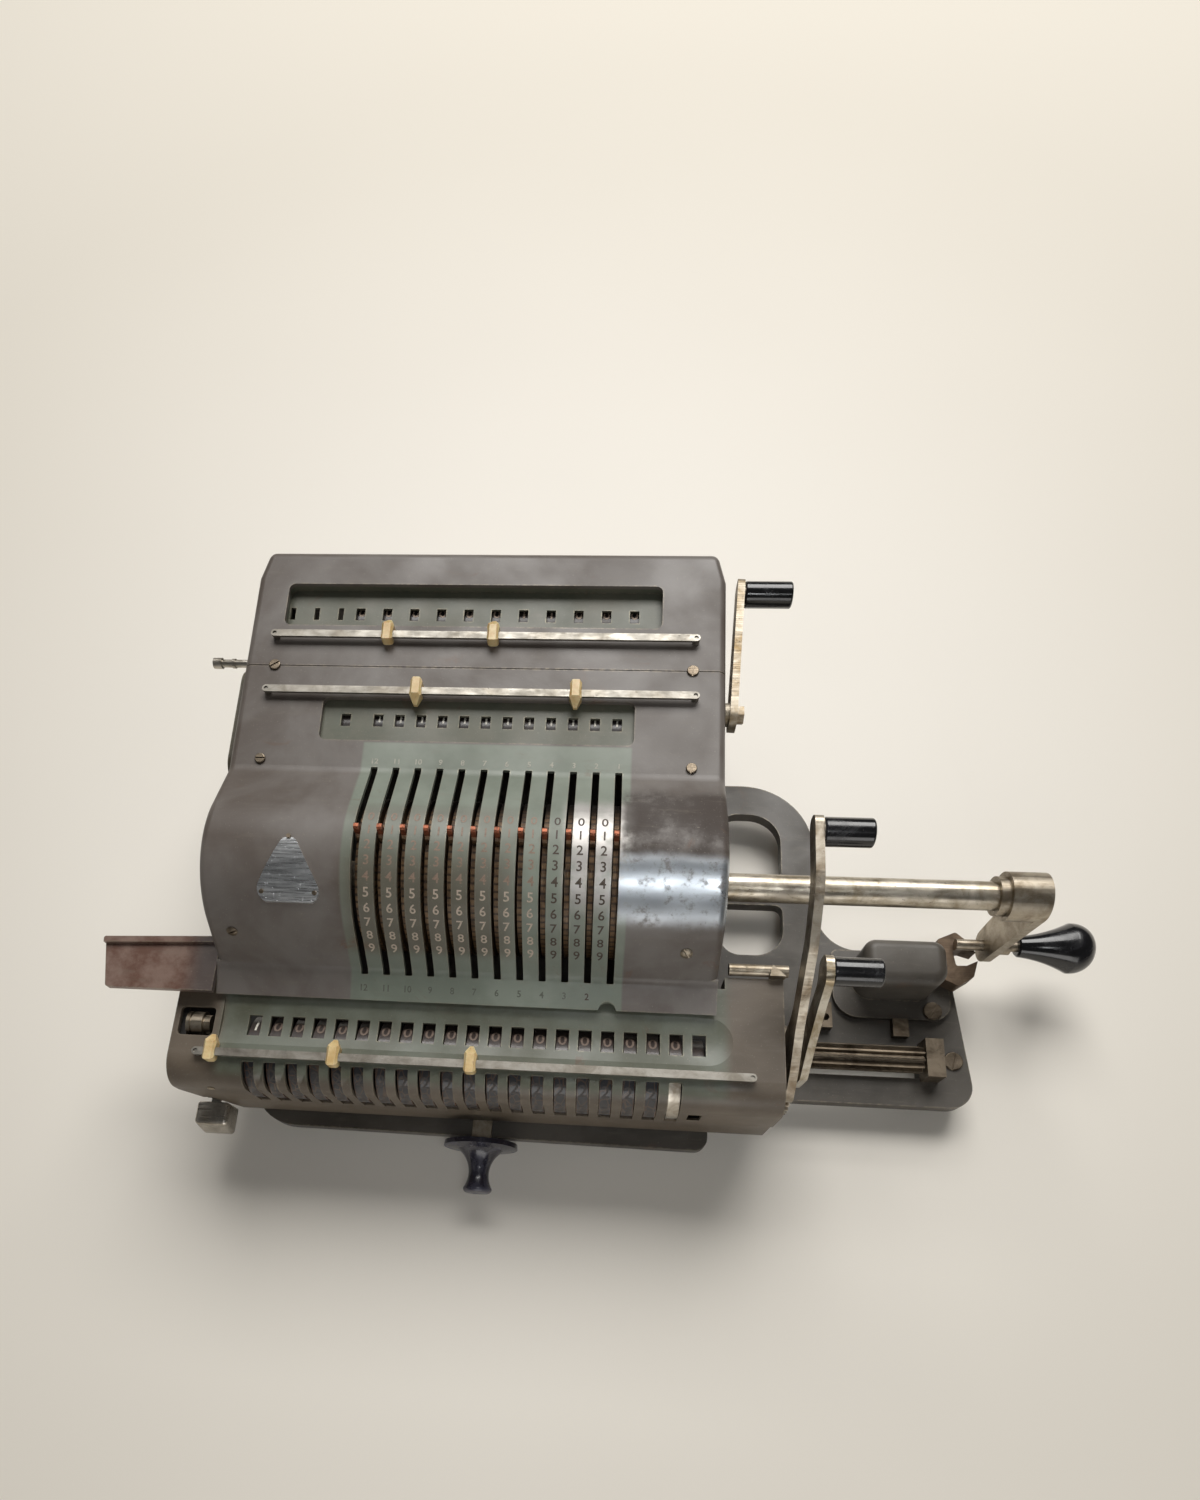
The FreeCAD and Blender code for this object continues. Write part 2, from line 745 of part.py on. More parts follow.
def make_front_cover():
    body = new_body("front_cover")
    sketch = sketch_on(body, "YZ", "-cover_half")
    draw(sketch, front_cover_outline())
    shell = pad(body, sketch, "2 * cover_half")
    round_edges(body, shell, front_rounded_edges, "cover_round")
    sketch = sketch_on(body, "YZ", "-cover_half")
    draw(sketch, apron_outline())
    pad(body, sketch, "2 * cover_half")
    sketch = sketch_on(body, "YZ", "cover_wall - cover_half")
    draw(sketch, inside_outline(S.cover_wall, S.seam_y + 2, S.skirt_z - 2))
    pocket(body, sketch, "2 * (cover_half - cover_wall)")
    sketch = sketch_on(body, "XY", "valley_z - 20")
    low, high = on_panel(S.control_open_low)[0], on_panel(S.control_open_high)[0]
    draw(sketch, rectangle(-S.control_open_x, S.control_open_x, low, high, S.opening_round))
    pocket(body, sketch, "40")
    cut_column_slots(body)
    cover_hole(body, "YZ", "cover_half - 2 * cover_wall", "3 * cover_wall",
               [(0, 0, S.shaft_radius + 1.2), (S.counter_pivot_y, S.counter_pivot_z, S.stud_radius + 0.6)])
    notch_x = S.first_column - S.notch_aside
    cover_hole(body, "XY", "apron_end_z - 10", "14", [(notch_x, S.apron_end_y - 0.4, S.apron_notch)])
    cover_hole(body, "XY", "valley_z - 8", "20",
               [(x, y, S.screw_shank + 0.5) for x in (-S.seam_screw_x, S.seam_screw_x)
                for y in (S.seam_y, on_panel(S.valley_screw_s)[0])])
    finish(body, "front_cover")


def cut_column_slots(body):
    """Twelve slots over the drum, from the valley to the apron; the first is drawn and the rest repeat it."""
    sketch = sketch_on(body, "XY", "apron_z - 6")
    half = S.slot_width / 2
    x = COLUMNS[0]
    draw(sketch, rectangle(x - half, x + half, S.slot_front_y, S.slot_rear_y, S.slot_corner))
    slot = pocket(body, sketch, "drum_cover_radius + 12")
    pattern = body.newObject("PartDesign::LinearPattern", "column_slots")
    pattern.Originals = [slot]
    pattern.Direction = (sketch, ["H_Axis"])
    pattern.Reversed = True
    bind(pattern, Length="column_pitch * (column_count - 1)", Occurrences="column_count")
    body.Tip = pattern
    doc.recompute()


def make_top_cover():
    body = new_body("top_cover")
    start = S.seam_y + S.seam_gap / 2
    foot = S.base_top + 2
    wall = S.cover_wall
    sketch = sketch_on(body, "YZ", "-cover_half")
    draw(sketch, outline([
        (start, panel_z(start)), (S.rear_y, panel_z(S.rear_y), S.rear_round), (S.rear_y, foot),
        (S.rear_y - wall, foot), (S.rear_y - wall, S.skirt_z), (start, S.skirt_z),
    ]))
    shell = pad(body, sketch, "2 * cover_half")
    taper_start = S.rear_y - S.rear_taper_run
    for side in (-1, 1):
        sketch = sketch_on(body, "XY", "base_top")
        draw(sketch, outline([(side * S.cover_half, taper_start), (side * (S.cover_half + 5), taper_start),
                              (side * (S.cover_half + 5), S.rear_y + 1),
                              (side * (S.cover_half - S.rear_taper), S.rear_y + 1)]))
        shell = pocket(body, sketch, "120")
    round_edges(body, shell, rear_rounded_edges, "cover_round")
    sketch = sketch_on(body, "YZ", "rear_side_wall - cover_half")
    draw(sketch, outline([
        (start - 2, panel_z(start - 2, wall)),
        (S.rear_y - wall, panel_z(S.rear_y - wall, wall), S.rear_round - wall),
        (S.rear_y - wall, S.skirt_z - 2), (start - 2, S.skirt_z - 2),
    ]))
    pocket(body, sketch, "2 * (cover_half - rear_side_wall)")
    low, high = on_panel(S.counter_open_low)[0], on_panel(S.counter_open_high)[0]
    sketch = sketch_on(body, "XY", "valley_z - 10")
    draw(sketch, rectangle(S.counter_open_left, S.counter_open_right, low, high, S.opening_round))
    pocket(body, sketch, "40")
    cover_hole(body, "XY", "valley_z - 4", "20", [(x, S.seam_y, S.screw_shank + 0.5)
                                                  for x in (-S.seam_screw_x, S.seam_screw_x)])
    cover_hole(body, "YZ", "-cover_half - 1", "rear_side_wall + 2",
               [(S.selector_y, S.selector_z, S.selector_radius + 0.4)])
    finish(body, "top_cover")


def rear_rounded_edges(edge):
    """Edges where the top and its rear curve meet the sides."""
    box = edge.BoundBox
    taper_end = S.cover_half - S.rear_taper - 0.01
    one_side = box.XMin > taper_end or box.XMax < -taper_end
    return one_side and box.ZMin > S.skirt_z + 20 and box.YMax - box.YMin > 1e-4 and box.YMax < S.rear_y + 1


def make_window_plates():
    """Trays under the panel openings, with a window over each dial."""
    trays = []
    control = [(x, S.control_window_x) for x in CONTROL_X] + [(S.sign_window, S.control_window_x)]
    narrow_x = COUNTER_X[-1] - S.counter_pitch * 0.73
    narrow = [(narrow_x - S.narrow_pitch * k, S.narrow_window_x) for k in range(3)]
    counter = [(x, S.counter_window_x) for x in COUNTER_X] + narrow
    trays.append(tray(-S.control_open_x, S.control_open_x, S.control_open_low, S.control_open_high,
                      S.control_depth, S.control_s, S.control_window_s, control))
    trays.append(tray(S.counter_open_left, S.counter_open_right, S.counter_open_low, S.counter_open_high,
                      S.counter_depth, S.counter_s, S.counter_window_s, counter))
    solid_piece("window_plates", Part.makeCompound(trays), tilted=True)


def tray(left, right, low, high, depth, window_s, window_long, windows):
    margin = S.tray_wall + 0.6
    top = -S.cover_wall - 0.05
    radius = S.opening_round

    def shape(grow, z0, z1):
        return up_z(rectangle(left - grow, right + grow, low - grow, high + grow, radius + grow), z0, z1)

    solid = shape(margin, -depth - S.tray_floor, top).cut(shape(margin - S.tray_wall, -depth, top + 1))
    window_low, window_high = window_s - window_long / 2, window_s + window_long / 2
    for x, wide in windows:
        solid = solid.cut(block(x - wide / 2, x + wide / 2, window_low, window_high,
                                -depth - S.tray_floor - 1, -depth + 1))
    return solid


# ---------------------------------------------------------------- bars, screws and trim

def bar(left, right, y, z):
    """A flat rail with rounded ends on two posts; z is the surface that the posts stand on."""
    low, high = z + S.bar_lift, z + S.bar_lift + S.bar_thick
    half = S.bar_wide / 2
    shape = up_z(rectangle(left - half, right + half, y - half, y + half, half * 0.98), low, high)
    for x in (left, right):
        shape = shape.fuse(post(half * 0.9, x, y, z, low + 0.1))
        shape = shape.cut(post(half * 0.55, x, y, low + S.bar_thick / 2, high + 1))
    return shape.removeSplitter()


def slotted_screw(x, y, surface, head, turn, high):
    """A cheese head on a shank, its driver slot turned about Z."""
    shape = post(head, x, y, surface, surface + high)
    rim = [edge for edge in shape.Edges if abs(edge.BoundBox.ZMin - surface - high) < 1e-6]
    shape = shape.makeFillet(high * 0.45, rim[:1])
    shape = shape.fuse(post(S.screw_shank - S.shaft_gap, x, y, surface - S.screw_long, surface + high / 2))
    slot = block(-head - 1, head + 1, -S.screw_slot / 2, S.screw_slot / 2, high * 0.45, high + 1)
    slot.rotate(FreeCAD.Vector(0, 0, 0), AXIS_Z, turn)
    return shape.cut(moved(slot, x, y, surface)).removeSplitter()


def make_pointer_bars():
    bars = [bar(-S.bar_half, S.bar_half, s, 0) for s in (S.lower_bar_s, S.upper_bar_s)]
    solid_piece("pointer_bars", Part.makeCompound(bars), tilted=True)


def panel_screws():
    screws = []
    for index, side in enumerate((-1, 1)):
        x = side * S.seam_screw_x
        high = S.screw_head_high
        screws.append(slotted_screw(x, SEAM_S, 0, S.screw_head, 35 + 50 * index, high))
        screws.append(slotted_screw(x, S.valley_screw_s, 0.15, S.screw_head * 0.9, 80 * index, high))
    return screws


def base_screws():
    """One screw holds the housing's flange and one stands in the shelf beside the end block."""
    seat = S.base_top + S.flange_thick
    places = [(*HOUSING_SCREW, seat, 60), (*SHELF_SCREW, S.base_top, 75)]
    return [slotted_screw(*place[:3], S.shelf_screw, place[3], S.screw_head_high * 1.4) for place in places]


def make_badge():
    """A bare plate with rounded corners, bent round the drum cover, held by three rivets."""
    radius = S.drum_cover_radius
    prism = up_z(outline([(-84.5, -27.0, 4.0), (-53.5, -27.0, 4.0), (-69.5, 1.5, 4.0)]), 0, radius + 10)
    shell = ring(radius + 0.75, radius, -100, -40)
    plate = shell.common(prism)
    rivets = []
    for x, angle in ((-69.5, 94.0), (-80.0, 127.5), (-58.0, 127.5)):
        rivet = post(0.95, x, 0, radius + 0.2, radius + 1.35)
        rivet.rotate(FreeCAD.Vector(0, 0, 0), AXIS_X, angle - 90)
        plate = plate.cut(rivet)
        rivets.append(rivet)
    solid_piece("badge_plate", plate)
    fasteners = [laid_on_panel(screw) for screw in panel_screws()] + rivets + base_screws()
    solid_piece("cover_fasteners", Part.makeCompound(fasteners))


def make_guard_plate():
    """The wing left of the housing that the carriage slides under."""
    inner, outer = -S.cover_half, -S.guard_reach
    rear, front = S.guard_rear, S.guard_front
    plate = outline([(inner, rear), (inner, front), (outer + 4.5, front, 1.5), (outer, rear - 2.0, 1.5)])
    lip = outline([(inner, rear), (inner, rear - 2.7), (outer + 0.4, rear - 4.7), (outer, rear - 2.0, 1.0)])
    plate, lip = up_z(plate, -S.guard_thick, 0.0), up_z(lip, -0.1, S.guard_lip)
    solid_piece("left_guard_plate", plate.fuse(lip).removeSplitter())


def make_left_side_plate():
    edges = outline([(34, 4, 6), (94, -2, 6), (94, 24, 9), (40, 21, 9)])
    solid_piece("left_side_plate", along_x(edges, -S.cover_half - 3.2, -S.cover_half))


# ---------------------------------------------------------------- crank side of the base

def make_crank_stop_housing():
    """A low domed casting on a flange."""
    body = new_body("crank_stop_housing")
    rear = S.shelf_rear_y - 1
    sketch = sketch_on(body, "XY", "base_top")
    draw(sketch, outline([(S.flange_left, S.flange_front, 12), (S.flange_right, S.flange_front, 9),
                          (S.flange_right, rear, 3), (S.flange_left, rear, 3)]))
    draw_circle(sketch, *HOUSING_SCREW, S.screw_shank, "screw_shank")
    pad(body, sketch, "flange_thick")
    sketch = sketch_on(body, "XY", "base_top + flange_thick - 1")
    draw(sketch, outline([(S.housing_left, S.housing_front, 8), (S.housing_right, S.housing_front, 8),
                          (S.housing_right, S.housing_rear, 6), (S.housing_left, S.housing_rear, 6)]))
    raised = pad(body, sketch, "housing_top - base_top - flange_thick + 1")
    top = S.housing_top
    round_edges(body, raised, lambda edge: edge.BoundBox.ZMin > top - 0.01, "housing_round")
    finish(body, "crank_stop_housing")


def make_crank_rest_catch():
    """An open claw on the housing's right wall, just below the way of the crank's peg."""
    x, high = S.housing_right, -S.arm_throw - S.peg_radius - S.catch_gap
    claw = outline([
        (x, -3.5), (x + 1.9, 3.9), (x + 10.2, 7.8, 1.5), (x + 15.2, 3.3, 1.0), (x + 18.6, -2.5),
        (x + 13.1, -0.8), (x + 8.0, -1.8, 1.0), (x + 9.1, -9.5, 1.0), (x + 14.1, -9.3), (x + 19.3, -6.7),
        (x + 16.8, -14.9, 1.5), (x + 9.3, -19.9, 2.0), (x + 6.3, -18.1), (x, -15.5)])
    solid_piece("crank_rest_catch", up_z(claw, S.catch_low, high))


def make_base_blocks():
    """Bearing blocks for the long pinion and two low stop blocks on the shelf."""
    half = PINION_PITCH + S.gear_module
    bore = S.stud_radius + S.shaft_gap
    gap = S.free_gap + 0.2
    right, left = S.pinion_right + gap, S.pinion_left - 2
    blocks = []
    for x0, x1, wide in ((right, right + S.end_block, half + 2.6), (left - S.inner_block, left, half)):
        bearing = block(x0, x1, S.pinion_y - wide, S.pinion_y + wide, S.base_top, S.pinion_z + half * 0.95)
        blocks.append(bearing.cut(rod(bore, x0 - 1, x1 + 1, S.pinion_y, S.pinion_z)))
    stop_left, stop_rear = S.housing_left + 17.6, S.flange_front + 0.2 - S.free_gap
    blocks.append(block(stop_left, stop_left + 7.2, stop_rear - 8.8, stop_rear, S.base_top,
                        S.base_top + S.stop_block_high))
    slot_left, slot_rear = S.flange_left - 7.6, S.flange_front + 6.4
    slotted = block(slot_left, slot_left + 6.2, slot_rear - 12.7, slot_rear, S.base_top,
                    S.base_top + S.slotted_block_high)
    blocks.append(slotted.cut(post(1.8, slot_left + 3.1, slot_rear - 7.5, S.base_top + 1, S.base_top + 6)))
    solid_piece("base_blocks", Part.makeCompound(blocks))


def make_carriage_rails():
    """Two rods that the carriage slides on, each held in two posts on the base."""
    rails = []
    for y in (S.rail_front_y, S.rail_rear_y):
        rail = rod(S.rail_radius, -S.rail_half, S.rail_half, y, S.rail_z)
        for side in (-1, 1):
            inner, outer = side * (S.rail_half - S.rail_post), side * S.rail_half
            rail = rail.fuse(block(min(inner, outer), max(inner, outer), y - 3.4, y + 3.4, S.base_top,
                                   S.rail_z + S.rail_radius + 0.4))
        rails.append(rail.removeSplitter())
    solid_piece("carriage_rails", Part.makeCompound(rails))


# ---------------------------------------------------------------- drum and crank

def make_crank():
    solid_piece("crank_shaft", rod(S.shaft_radius, SHAFT_LEFT, S.arm_plate_x, 0, 0))
    body = new_body("crank_arm")
    sketch = sketch_on(body, "YZ", "hub_start")
    draw_circle(sketch, 0, 0, S.hub_radius, "hub_radius")
    pad(body, sketch, "arm_plate_x - hub_start")
    sketch = sketch_on(body, "YZ", "collar_start")
    draw_circle(sketch, 0, 0, S.collar_radius, "collar_radius")
    pad(body, sketch, "hub_start - collar_start")
    sketch = sketch_on(body, "YZ", "arm_plate_x")
    end = S.arm_throw + S.arm_tip
    draw(sketch, arm_outline(S.hub_radius, S.arm_tip_radius, end - S.arm_tip_radius))
    pad(body, sketch, "arm_plate")
    for start, length, radius in (("peg_start", "arm_plate_x - peg_start", "peg_radius"),
                                  ("arm_plate_x + arm_plate", "shoulder_long", "shoulder_radius"),
                                  ("arm_plate_x + arm_plate", "handle_start + handle_long - 5 - arm_plate_x"
                                   " - arm_plate", "shank_radius")):
        sketch = sketch_on(body, "YZ", start)
        draw_circle(sketch, 0, -S.arm_throw, getattr(S, radius), radius)
        pad(body, sketch, length)
    sketch = sketch_on(body, "YZ", "collar_start")
    draw_circle(sketch, 0, 0, S.shaft_radius, "shaft_radius")
    pocket(body, sketch, "arm_plate_x - collar_start")
    finish(body, "crank_arm")

    body = new_body("crank_handle")
    sketch = sketch_on(body, "XZ", "0")
    bore = S.shank_radius + S.shaft_gap
    start, end = S.handle_start, S.handle_start + S.handle_long
    low = -S.arm_throw
    fat = start + S.handle_long * 0.68
    draw(sketch, closed_path(
        (start, low + bore), (start, low + S.handle_neck - 0.8), (start + 0.8, low + S.handle_neck),
        ((start + S.handle_long * 0.34, low + S.handle_neck + 2.1), (fat, low + S.handle_radius)),
        ((end - 3.0, low + S.handle_radius * 0.78), (end, low + 2.5)),
        (end, low + 0.01), (end - 3.5, low + 0.01), (end - 3.5, low + bore)))
    sketch.addGeometry(Part.LineSegment(FreeCAD.Vector(start, low, 0), FreeCAD.Vector(end, low, 0)), True)
    feature = body.newObject("PartDesign::Revolution", "handle_turned")
    feature.Profile = sketch
    feature.ReferenceAxis = (sketch, ["Axis0"])
    feature.Angle = 360
    doc.recompute()
    finish(body, "crank_handle")


def arm_outline(hub, tip, reach):
    """A straight-sided arm hanging from the hub circle to a smaller end circle, in (y, z)."""
    lean = math.asin((hub - tip) / reach)
    side = math.cos(lean)
    right = (hub * side, -hub * math.sin(lean))
    low_right = (tip * side, -reach - tip * math.sin(lean))
    left, low_left = (-right[0], right[1]), (-low_right[0], low_right[1])
    return closed_path(right, ((0, hub), left), low_left, ((0, -reach - tip), low_right))


def pin_angle(number):
    return S.drum_pin_first + S.digit_step * number


def make_drum():
    """Discs with nine radial pins each; as many pins stand out as the digit that is set."""
    discs, pins = [], []
    bore_start = S.disc_radius - S.drum_pin_long - 1.5
    for x in COLUMNS:
        face = x + S.disc_offset
        middle = face + S.disc_thick / 2
        disc = rod(S.disc_radius, face, face + S.disc_thick)
        disc = disc.fuse(rod(S.boss_radius, face - S.lever_thick - 0.5, face))
        disc = disc.cut(rod(S.shaft_radius, -2 * S.cover_half, 2 * S.cover_half))
        holes = []
        for number in range(int(S.drum_pin_count)):
            reach = S.drum_pin_lift if number < S.shown_digit else -0.2
            hole = post(S.drum_pin_radius + S.shaft_gap, 0, 0, bore_start, S.disc_radius + 1)
            outer = S.disc_radius + reach
            pin = post(S.drum_pin_radius, 0, 0, outer - S.drum_pin_long, outer)
            holes.append(moved(turned(hole, pin_angle(number) - 90), middle))
            pins.append(moved(turned(pin, pin_angle(number) - 90), middle))
        discs.append(disc.cut(Part.makeCompound(holes)))
    solid_piece("pinwheel_discs", Part.makeCompound(discs))
    solid_piece("setting_pins", Part.makeCompound(pins))


def make_setting_levers():
    """A ring on each disc's boss with an arm whose tip stands out of the column's slot."""
    angle = S.zero_angle + S.digit_step * S.shown_digit
    half, tip = S.lever_width / 2, S.lever_tip / 2
    for number, x in enumerate(COLUMNS, 1):
        body = new_body(f"setting_lever_{number:02d}")
        sketch = sketch_on(body, "YZ", f"first_column - {number - 1} * column_pitch - lever_thick / 2")
        draw_circle(sketch, 0, 0, S.lever_ring, "lever_ring")
        draw_circle(sketch, 0, 0, S.boss_radius + S.shaft_gap, "boss_radius + shaft_gap")
        pad(body, sketch, "lever_thick")
        root = math.sqrt(S.lever_ring ** 2 - half ** 2) - 1.0
        arm = [(root, -half), (S.lever_tip_start, -half), (S.lever_tip_start + 1.2, -tip),
               (S.lever_reach, -tip, 0.9), (S.lever_reach, tip, 0.9), (S.lever_tip_start + 1.2, tip),
               (S.lever_tip_start, half), (root, half)]
        sketch = sketch_on(body, "YZ", f"first_column - {number - 1} * column_pitch - lever_thick / 2")
        draw(sketch, outline([rotated(point, angle) for point in arm]))
        pad(body, sketch, "lever_thick")
        finish(body, f"setting_lever_{number:02d}")


def rotated(point, degrees):
    turn = math.radians(degrees)
    u = point[0] * math.cos(turn) - point[1] * math.sin(turn)
    v = point[0] * math.sin(turn) + point[1] * math.cos(turn)
    return (u, v, *point[2:])


# ---------------------------------------------------------------- registers in the housing

def dial(radius, wide, x, y, z):
    """A number wheel with a narrower hub, free on its spindle."""
    bore = S.spindle_radius + S.shaft_gap
    hub = ring(bore + 2.2, bore, x - wide / 2 - 0.6, x + wide / 2 + 0.6, y, z)
    return ring(radius, bore, x - wide / 2, x + wide / 2, y, z).fuse(hub).removeSplitter()


def make_registers():
    end = S.frame_outer
    control = on_panel(S.control_s, S.control_dial_drop)
    counter = on_panel(S.counter_s, S.counter_dial_drop)
    shafts = [rod(S.spindle_radius, -end, end, *place) for place in (control, counter)]
    solid_piece("dial_spindles", Part.makeCompound(shafts))
    places = CONTROL_X + [S.sign_window]
    wheels = [dial(S.control_dial_radius, S.control_dial_wide, x, *control) for x in places]
    solid_piece("control_dials", Part.makeCompound(wheels))
    wheels = [dial(S.counter_dial_radius, S.counter_dial_wide, x, *counter) for x in COUNTER_X]
    solid_piece("counter_dials", Part.makeCompound(wheels))


def make_selector_pin():
    place = (S.selector_y, S.selector_z)
    inner, outer = -(S.frame_outer - S.frame_thick - 6), -(S.cover_half + S.selector_out)
    pin = rod(S.selector_radius, outer, inner, *place)
    pin = pin.fuse(rod(S.selector_radius + 0.7, outer - 4, outer, *place))
    pin = pin.fuse(rod(S.selector_radius + 0.4, outer + 5, outer + 6.5, *place))
    solid_piece("selector_pin", pin.removeSplitter())


# ---------------------------------------------------------------- carriage

def carriage_profile(inset, low, rear):
    """The carriage cover's top and front line set in by a wall, closed along its underside."""
    front = S.carriage_front + inset
    top = S.carriage_top - inset
    step = S.carriage_step
    corner = max(S.carriage_front_round - inset, 1.0)
    return outline([(rear, top), (front, top, corner), (front, S.carriage_step_z),
                    (front + step, S.carriage_step_z - step), (front + step, low), (rear, low)])


def make_carriage_cover():
    body = new_body("carriage_cover")
    sketch = sketch_on(body, "YZ", "carriage_left")
    draw(sketch, carriage_profile(0.0, S.carriage_floor, S.carriage_rear))
    pad(body, sketch, "carriage_right - carriage_left")
    sketch = sketch_on(body, "YZ", "carriage_left")
    front = S.carriage_front + S.carriage_step
    draw(sketch, outline([(front, S.carriage_floor + 0.5), (front, S.carriage_bottom),
                          (front + S.carriage_wall, S.carriage_bottom),
                          (front + S.carriage_wall, S.carriage_floor + 0.5)]))
    pad(body, sketch, "carriage_right - carriage_left")
    sketch = sketch_on(body, "YZ", "carriage_block_left")
    draw(sketch, outline([(S.carriage_rear - 1, S.carriage_top), (S.carriage_block_rear, S.carriage_top),
                          (S.carriage_block_rear, -20), (S.carriage_rear - 1, -20)]))
    pad(body, sketch, "carriage_right - carriage_block_left")
    sketch = sketch_on(body, "YZ", "carriage_left + carriage_wall")
    draw(sketch, carriage_profile(S.carriage_wall, S.carriage_floor - 1, S.carriage_rear + 1))
    pocket(body, sketch, "carriage_right - carriage_left - 2 * carriage_wall")
    cut_channel(body)
    cut_carriage_windows(body)
    sketch = sketch_on(body, "XZ", "-carriage_front - 8")
    low = S.carriage_bottom - 1
    draw(sketch, outline([(S.carriage_left - 1, low + S.carriage_corner_low), (S.carriage_left - 1, low),
                          (S.carriage_left + S.carriage_corner_cut, low)]))
    pocket(body, sketch, "9")
    cover_hole(body, "YZ", "carriage_right - 2 * carriage_wall", "3 * carriage_wall",
               [(HUB_Y, S.hub_z, S.stud_radius + S.shaft_gap)])
    finish(body, "carriage_cover")


def cut_channel(body):
    """A trough along the result windows: a slab under the top, hollowed by a wide arc, round on the right."""
    half = math.sqrt(S.channel_radius ** 2 - (S.channel_radius - S.channel_depth) ** 2)
    sketch = sketch_on(body, "XY", "carriage_top - carriage_wall - channel_depth")
    left, right = S.channel_left - 2, S.channel_right + half + 2
    rear, front = S.channel_y + half + 1.2, S.channel_y - half - 1.2
    draw(sketch, outline([(left, front), (right, front, half), (right, rear, half), (left, rear)]))
    pad(body, sketch, "channel_depth + carriage_wall / 2")
    top = S.carriage_top
    sketch = sketch_on(body, "YZ", "channel_left")
    draw(sketch, closed_path((S.channel_y + half, top), ((S.channel_y, top - S.channel_depth),
                                                         (S.channel_y - half, top)),
                             (S.channel_y - half, top + 2), (S.channel_y + half, top + 2)))
    pocket(body, sketch, "channel_right - channel_left")
    cut_dial_grooves(body)
    before = body.Shape.Volume
    sketch = sketch_on(body, "XZ", "-channel_y")
    x = S.channel_right
    centre = top - S.channel_depth + S.channel_radius
    angle = math.asin(half / S.channel_radius) / 2
    middle = (x + S.channel_radius * math.sin(angle), centre - S.channel_radius * math.cos(angle))
    draw(sketch, closed_path((x, top - S.channel_depth), (middle, (x + half, top)), (x + half, top + 2),
                             (x, top + 2)))
    sketch.addGeometry(Part.LineSegment(FreeCAD.Vector(x, top - 5, 0), FreeCAD.Vector(x, top + 5, 0)), True)
    groove = body.newObject("PartDesign::Groove", "channel_end")
    groove.Profile = sketch
    groove.ReferenceAxis = (sketch, ["Axis0"])
    groove.Angle = 360
    doc.recompute()
    if not body.Shape.Volume < before:
        raise RuntimeError("the end of the carriage channel removed nothing")


def cut_dial_grooves(body):
    """The slab under the channel is hollowed over each dial."""
    width = S.dial_wide + 2 * S.free_gap
    first = min(RESULT_X) - width / 2
    sketch = sketch_on(body, "YZ", str(first))
    draw_circle(sketch, S.dial_y, S.dial_z, S.dial_radius + S.free_gap, "dial_radius + free_gap")
    groove = pocket(body, sketch, "dial_wide + 2 * free_gap")
    pattern = body.newObject("PartDesign::LinearPattern", "dial_grooves")
    pattern.Originals = [groove]
    pattern.Direction = (sketch, ["N_Axis"])
    bind(pattern, Length="column_pitch * (result_count - 1)", Occurrences="result_count")
    body.Tip = pattern
    doc.recompute()


def cut_carriage_windows(body):
    half = S.result_window_x / 2
    long = S.result_window_long / 2
    sketch = sketch_on(body, "XY", "carriage_top - channel_depth - carriage_wall - 1")
    for x in RESULT_X:
        draw(sketch, outline([(x - half, S.result_window_y - long), (x + half, S.result_window_y - long),
                              (x + half, S.result_window_y + long), (x - half, S.result_window_y + long)]))
    draw(sketch, outline([(S.peep_left, S.peep_front, 2), (S.peep_right, S.peep_front, 2),
                          (S.peep_right, S.peep_rear, 2), (S.peep_left, S.peep_rear, 2)]))
    pocket(body, sketch, "channel_depth + carriage_wall + 3")
    half = S.finger_slot / 2
    sketch = sketch_on(body, "XY", "finger_slot_low")
    for x in RESULT_X[1:]:
        draw(sketch, outline([(x - half, S.carriage_front - 2), (x + half, S.carriage_front - 2),
                              (x + half, S.finger_slot_rear, S.finger_slot_corner),
                              (x - half, S.finger_slot_rear, S.finger_slot_corner)]))
    pocket(body, sketch, "40")


